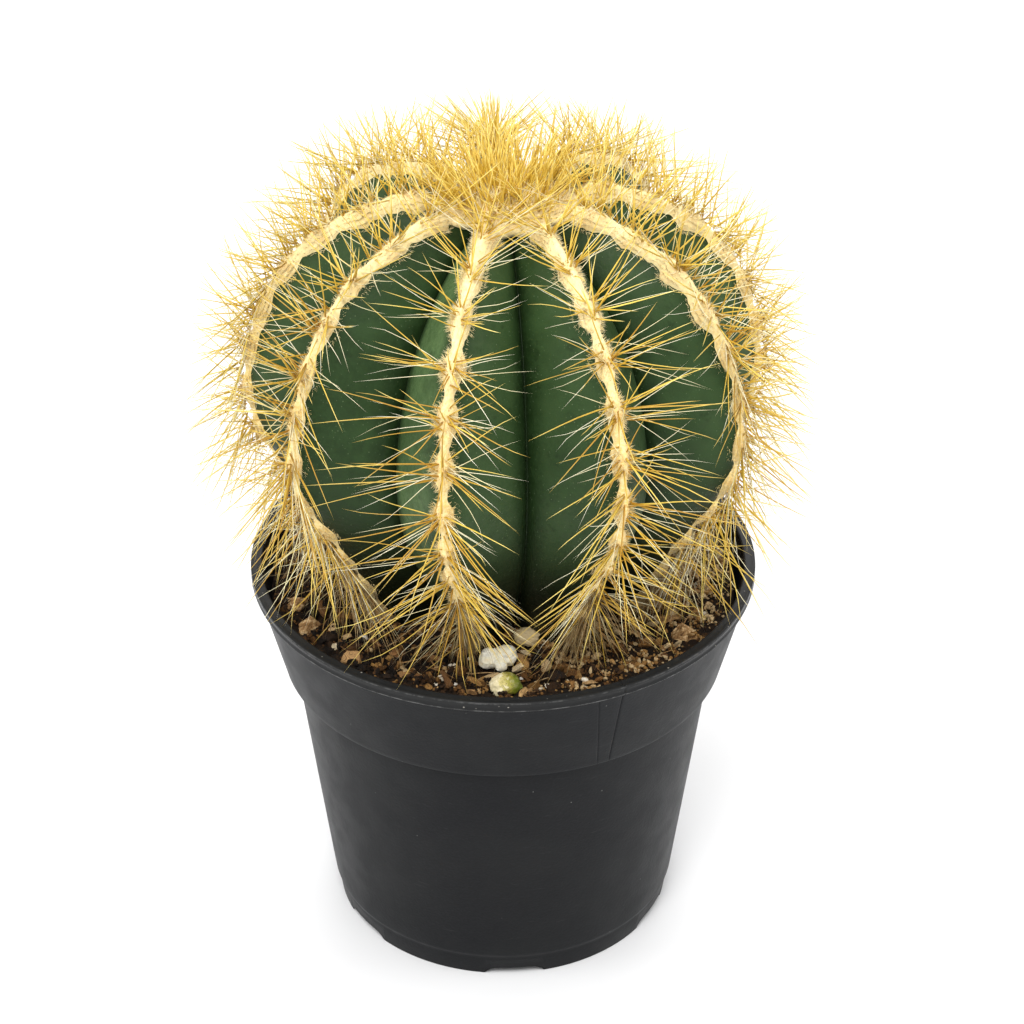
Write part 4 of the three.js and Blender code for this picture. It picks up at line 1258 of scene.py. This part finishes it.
def strew_perlite(rng):
    white = ((0.0, (190, 170, 136)), (0.4, (226, 214, 190)), (1.0, (248, 244, 234)))
    pale = litter_material("perlite_bits", *white, depth=0.1, dark=0.35)
    known = [(-12.2, -37.6, 1.0), (3.4, -42.6, 0.7), (8.9, -42.7, 0.8), (16.3, -40.4, 0.9)]
    known += [(-28.4, -23.4, 1.1), (7.6, -43.6, 0.55), (13.4, -42.0, 0.5), (-9.5, -40.6, 0.6)]
    places = on_bed(rng, 90, 20, 46.8, 0.3)
    sizes = rng.gamma(4, 0.11, len(places)).clip(0.22, 0.85)
    places = np.concatenate([[k[:2] for k in known], places])
    sizes = np.concatenate([[k[2] for k in known], sizes])
    tones = rng.uniform(0.2, 1, len(places))
    strew(rng, "soil_perlite", pale, places, sizes, 1, tones, sharp=None, sink=0.15, cuts=3)


def make_litter():
    rng = np.random.default_rng(900)
    strew_peat(rng)
    strew_wood(rng)
    strew_perlite(rng)


def make_grains():
    perlite = perlite_material()
    big = [
        lump_shape(4, (-2.5, -32.7, 80.1), (2.3, 2.0, 2.1), 61, 0.2),
        lump_shape(4, (0.5, -31.8, 80.2), (2.3, 2.0, 2.1), 62, 0.2),
        lump_shape(3, (-0.4, -34.2, 79.2), (1.3, 0.9, 1.0), 63, 0.2),
    ]
    piece("perlite_lump", joined(big), perlite, "perlite", "perlite_large")
    small = lump_shape(4, (5, -24.2, 79.5), (2.9, 1.9, 1.7), 64, 0.22, 1.0)
    piece("perlite_flat", small, perlite, "perlite", "perlite_small")
    stone = lump_shape(4, (0.7, -41, 79.4), (3.4, 2.8, 2.5), 65, 0.14)
    piece("lime_pebble", stone, pebble_material(), "pebble", "pebble")
    bark = bark_material()
    for i, (x, y, half) in enumerate(
        [(-42.2, -11.4, (3.4, 2.4, 1.7)), (-39.5, -18.4, (2.6, 3, 1.6)), (37, -22.2, (3.2, 2.3, 1.6))]
    ):
        p = chipped(np.random.default_rng(70 + i), 4, 1, 9)[0] * 1.25
        p = p * (1 + 0.12 * field(p, 0.45, 71 + i) + 0.06 * field(p, 0.16, 74 + i))[:, None]
        chip = Shape(p * half + (x, y, 78.8), tris=BALLS[4][1], along=0.5)
        piece(f"bark_chip_{i + 1}", chip, bark, "bark", f"bark_{i + 1}", sharp=30)


# Studio


def look(location, target, obj):
    obj.location = location
    obj.rotation_euler = (Vector(target) - Vector(location)).to_track_quat("-Z", "Y").to_euler()


def make_studio():
    scene = bpy.context.scene
    scene.view_settings.view_transform = "Standard"
    scene.view_settings.look = "None"

    camera = bpy.data.cameras.new("camera")
    camera.lens, camera.sensor_width = 119.15, 36
    camera.shift_x = 0.00879
    camera.clip_start, camera.clip_end = 0.05, 50
    obj = bpy.data.objects.new("camera", camera)
    scene.collection.objects.link(obj)
    elevation, distance, aim_z = math.radians(32.94), 0.7, 0.09386
    obj.location = (0, -distance * math.cos(elevation), aim_z + distance * math.sin(elevation))
    obj.rotation_euler = (math.pi / 2 - elevation, 0, 0)
    scene.camera = obj

    world = bpy.data.worlds.new("studio")
    scene.world = world
    world.use_nodes = True
    background = world.node_tree.nodes["Background"]
    background.inputs["Color"].default_value = (1.0, 1.0, 1.0, 1)
    background.inputs["Strength"].default_value = 0.84

    for name, at, size, power in (
        ("overhead", (0.0, -0.1, 1.5), 1.8, 9),
        ("key", (-0.15, -0.78, 1.1), 0.5, 8.6),
        ("back", (0.1, 0.9, 1.1), 1.0, 7),
        ("left", (-1.3, -0.25, 0.6), 0.7, 5.2),
        ("right", (1.3, -0.1, 0.6), 0.7, 4),
    ):
        light = bpy.data.lights.new(name, "AREA")
        light.shape, light.size, light.energy = "DISK", size, power
        lamp = bpy.data.objects.new(name, light)
        scene.collection.objects.link(lamp)
        look(at, (0, 0, 0.09), lamp)

    mesh = bpy.data.meshes.new("floor")
    mesh.from_pydata([(-6, -6, 0), (6, -6, 0), (6, 6, 0), (-6, 6, 0)], [], [(0, 1, 2, 3)])
    floor = bpy.data.objects.new("floor", mesh)
    scene.collection.objects.link(floor)
    s = Shade("floor_paper", Specular_IOR_Level=0.1, Roughness=0.9)
    paper = s.ramp(s.noise(s.place(), 400, 2), (0.2, (0.79, 0.79, 0.793, 1)), (0.8, (0.81, 0.81, 0.813, 1)))
    mesh.materials.append(s.finish(paper))


make_studio()
make_pot()
make_bed()
make_litter()
make_grains()
make_body()
wool, needles = wool_material(), needle_material()
for rib in range(9):
    make_rib_wool(rib, wool)
    make_rib_needles(rib, needles)
make_crown(wool, needles)
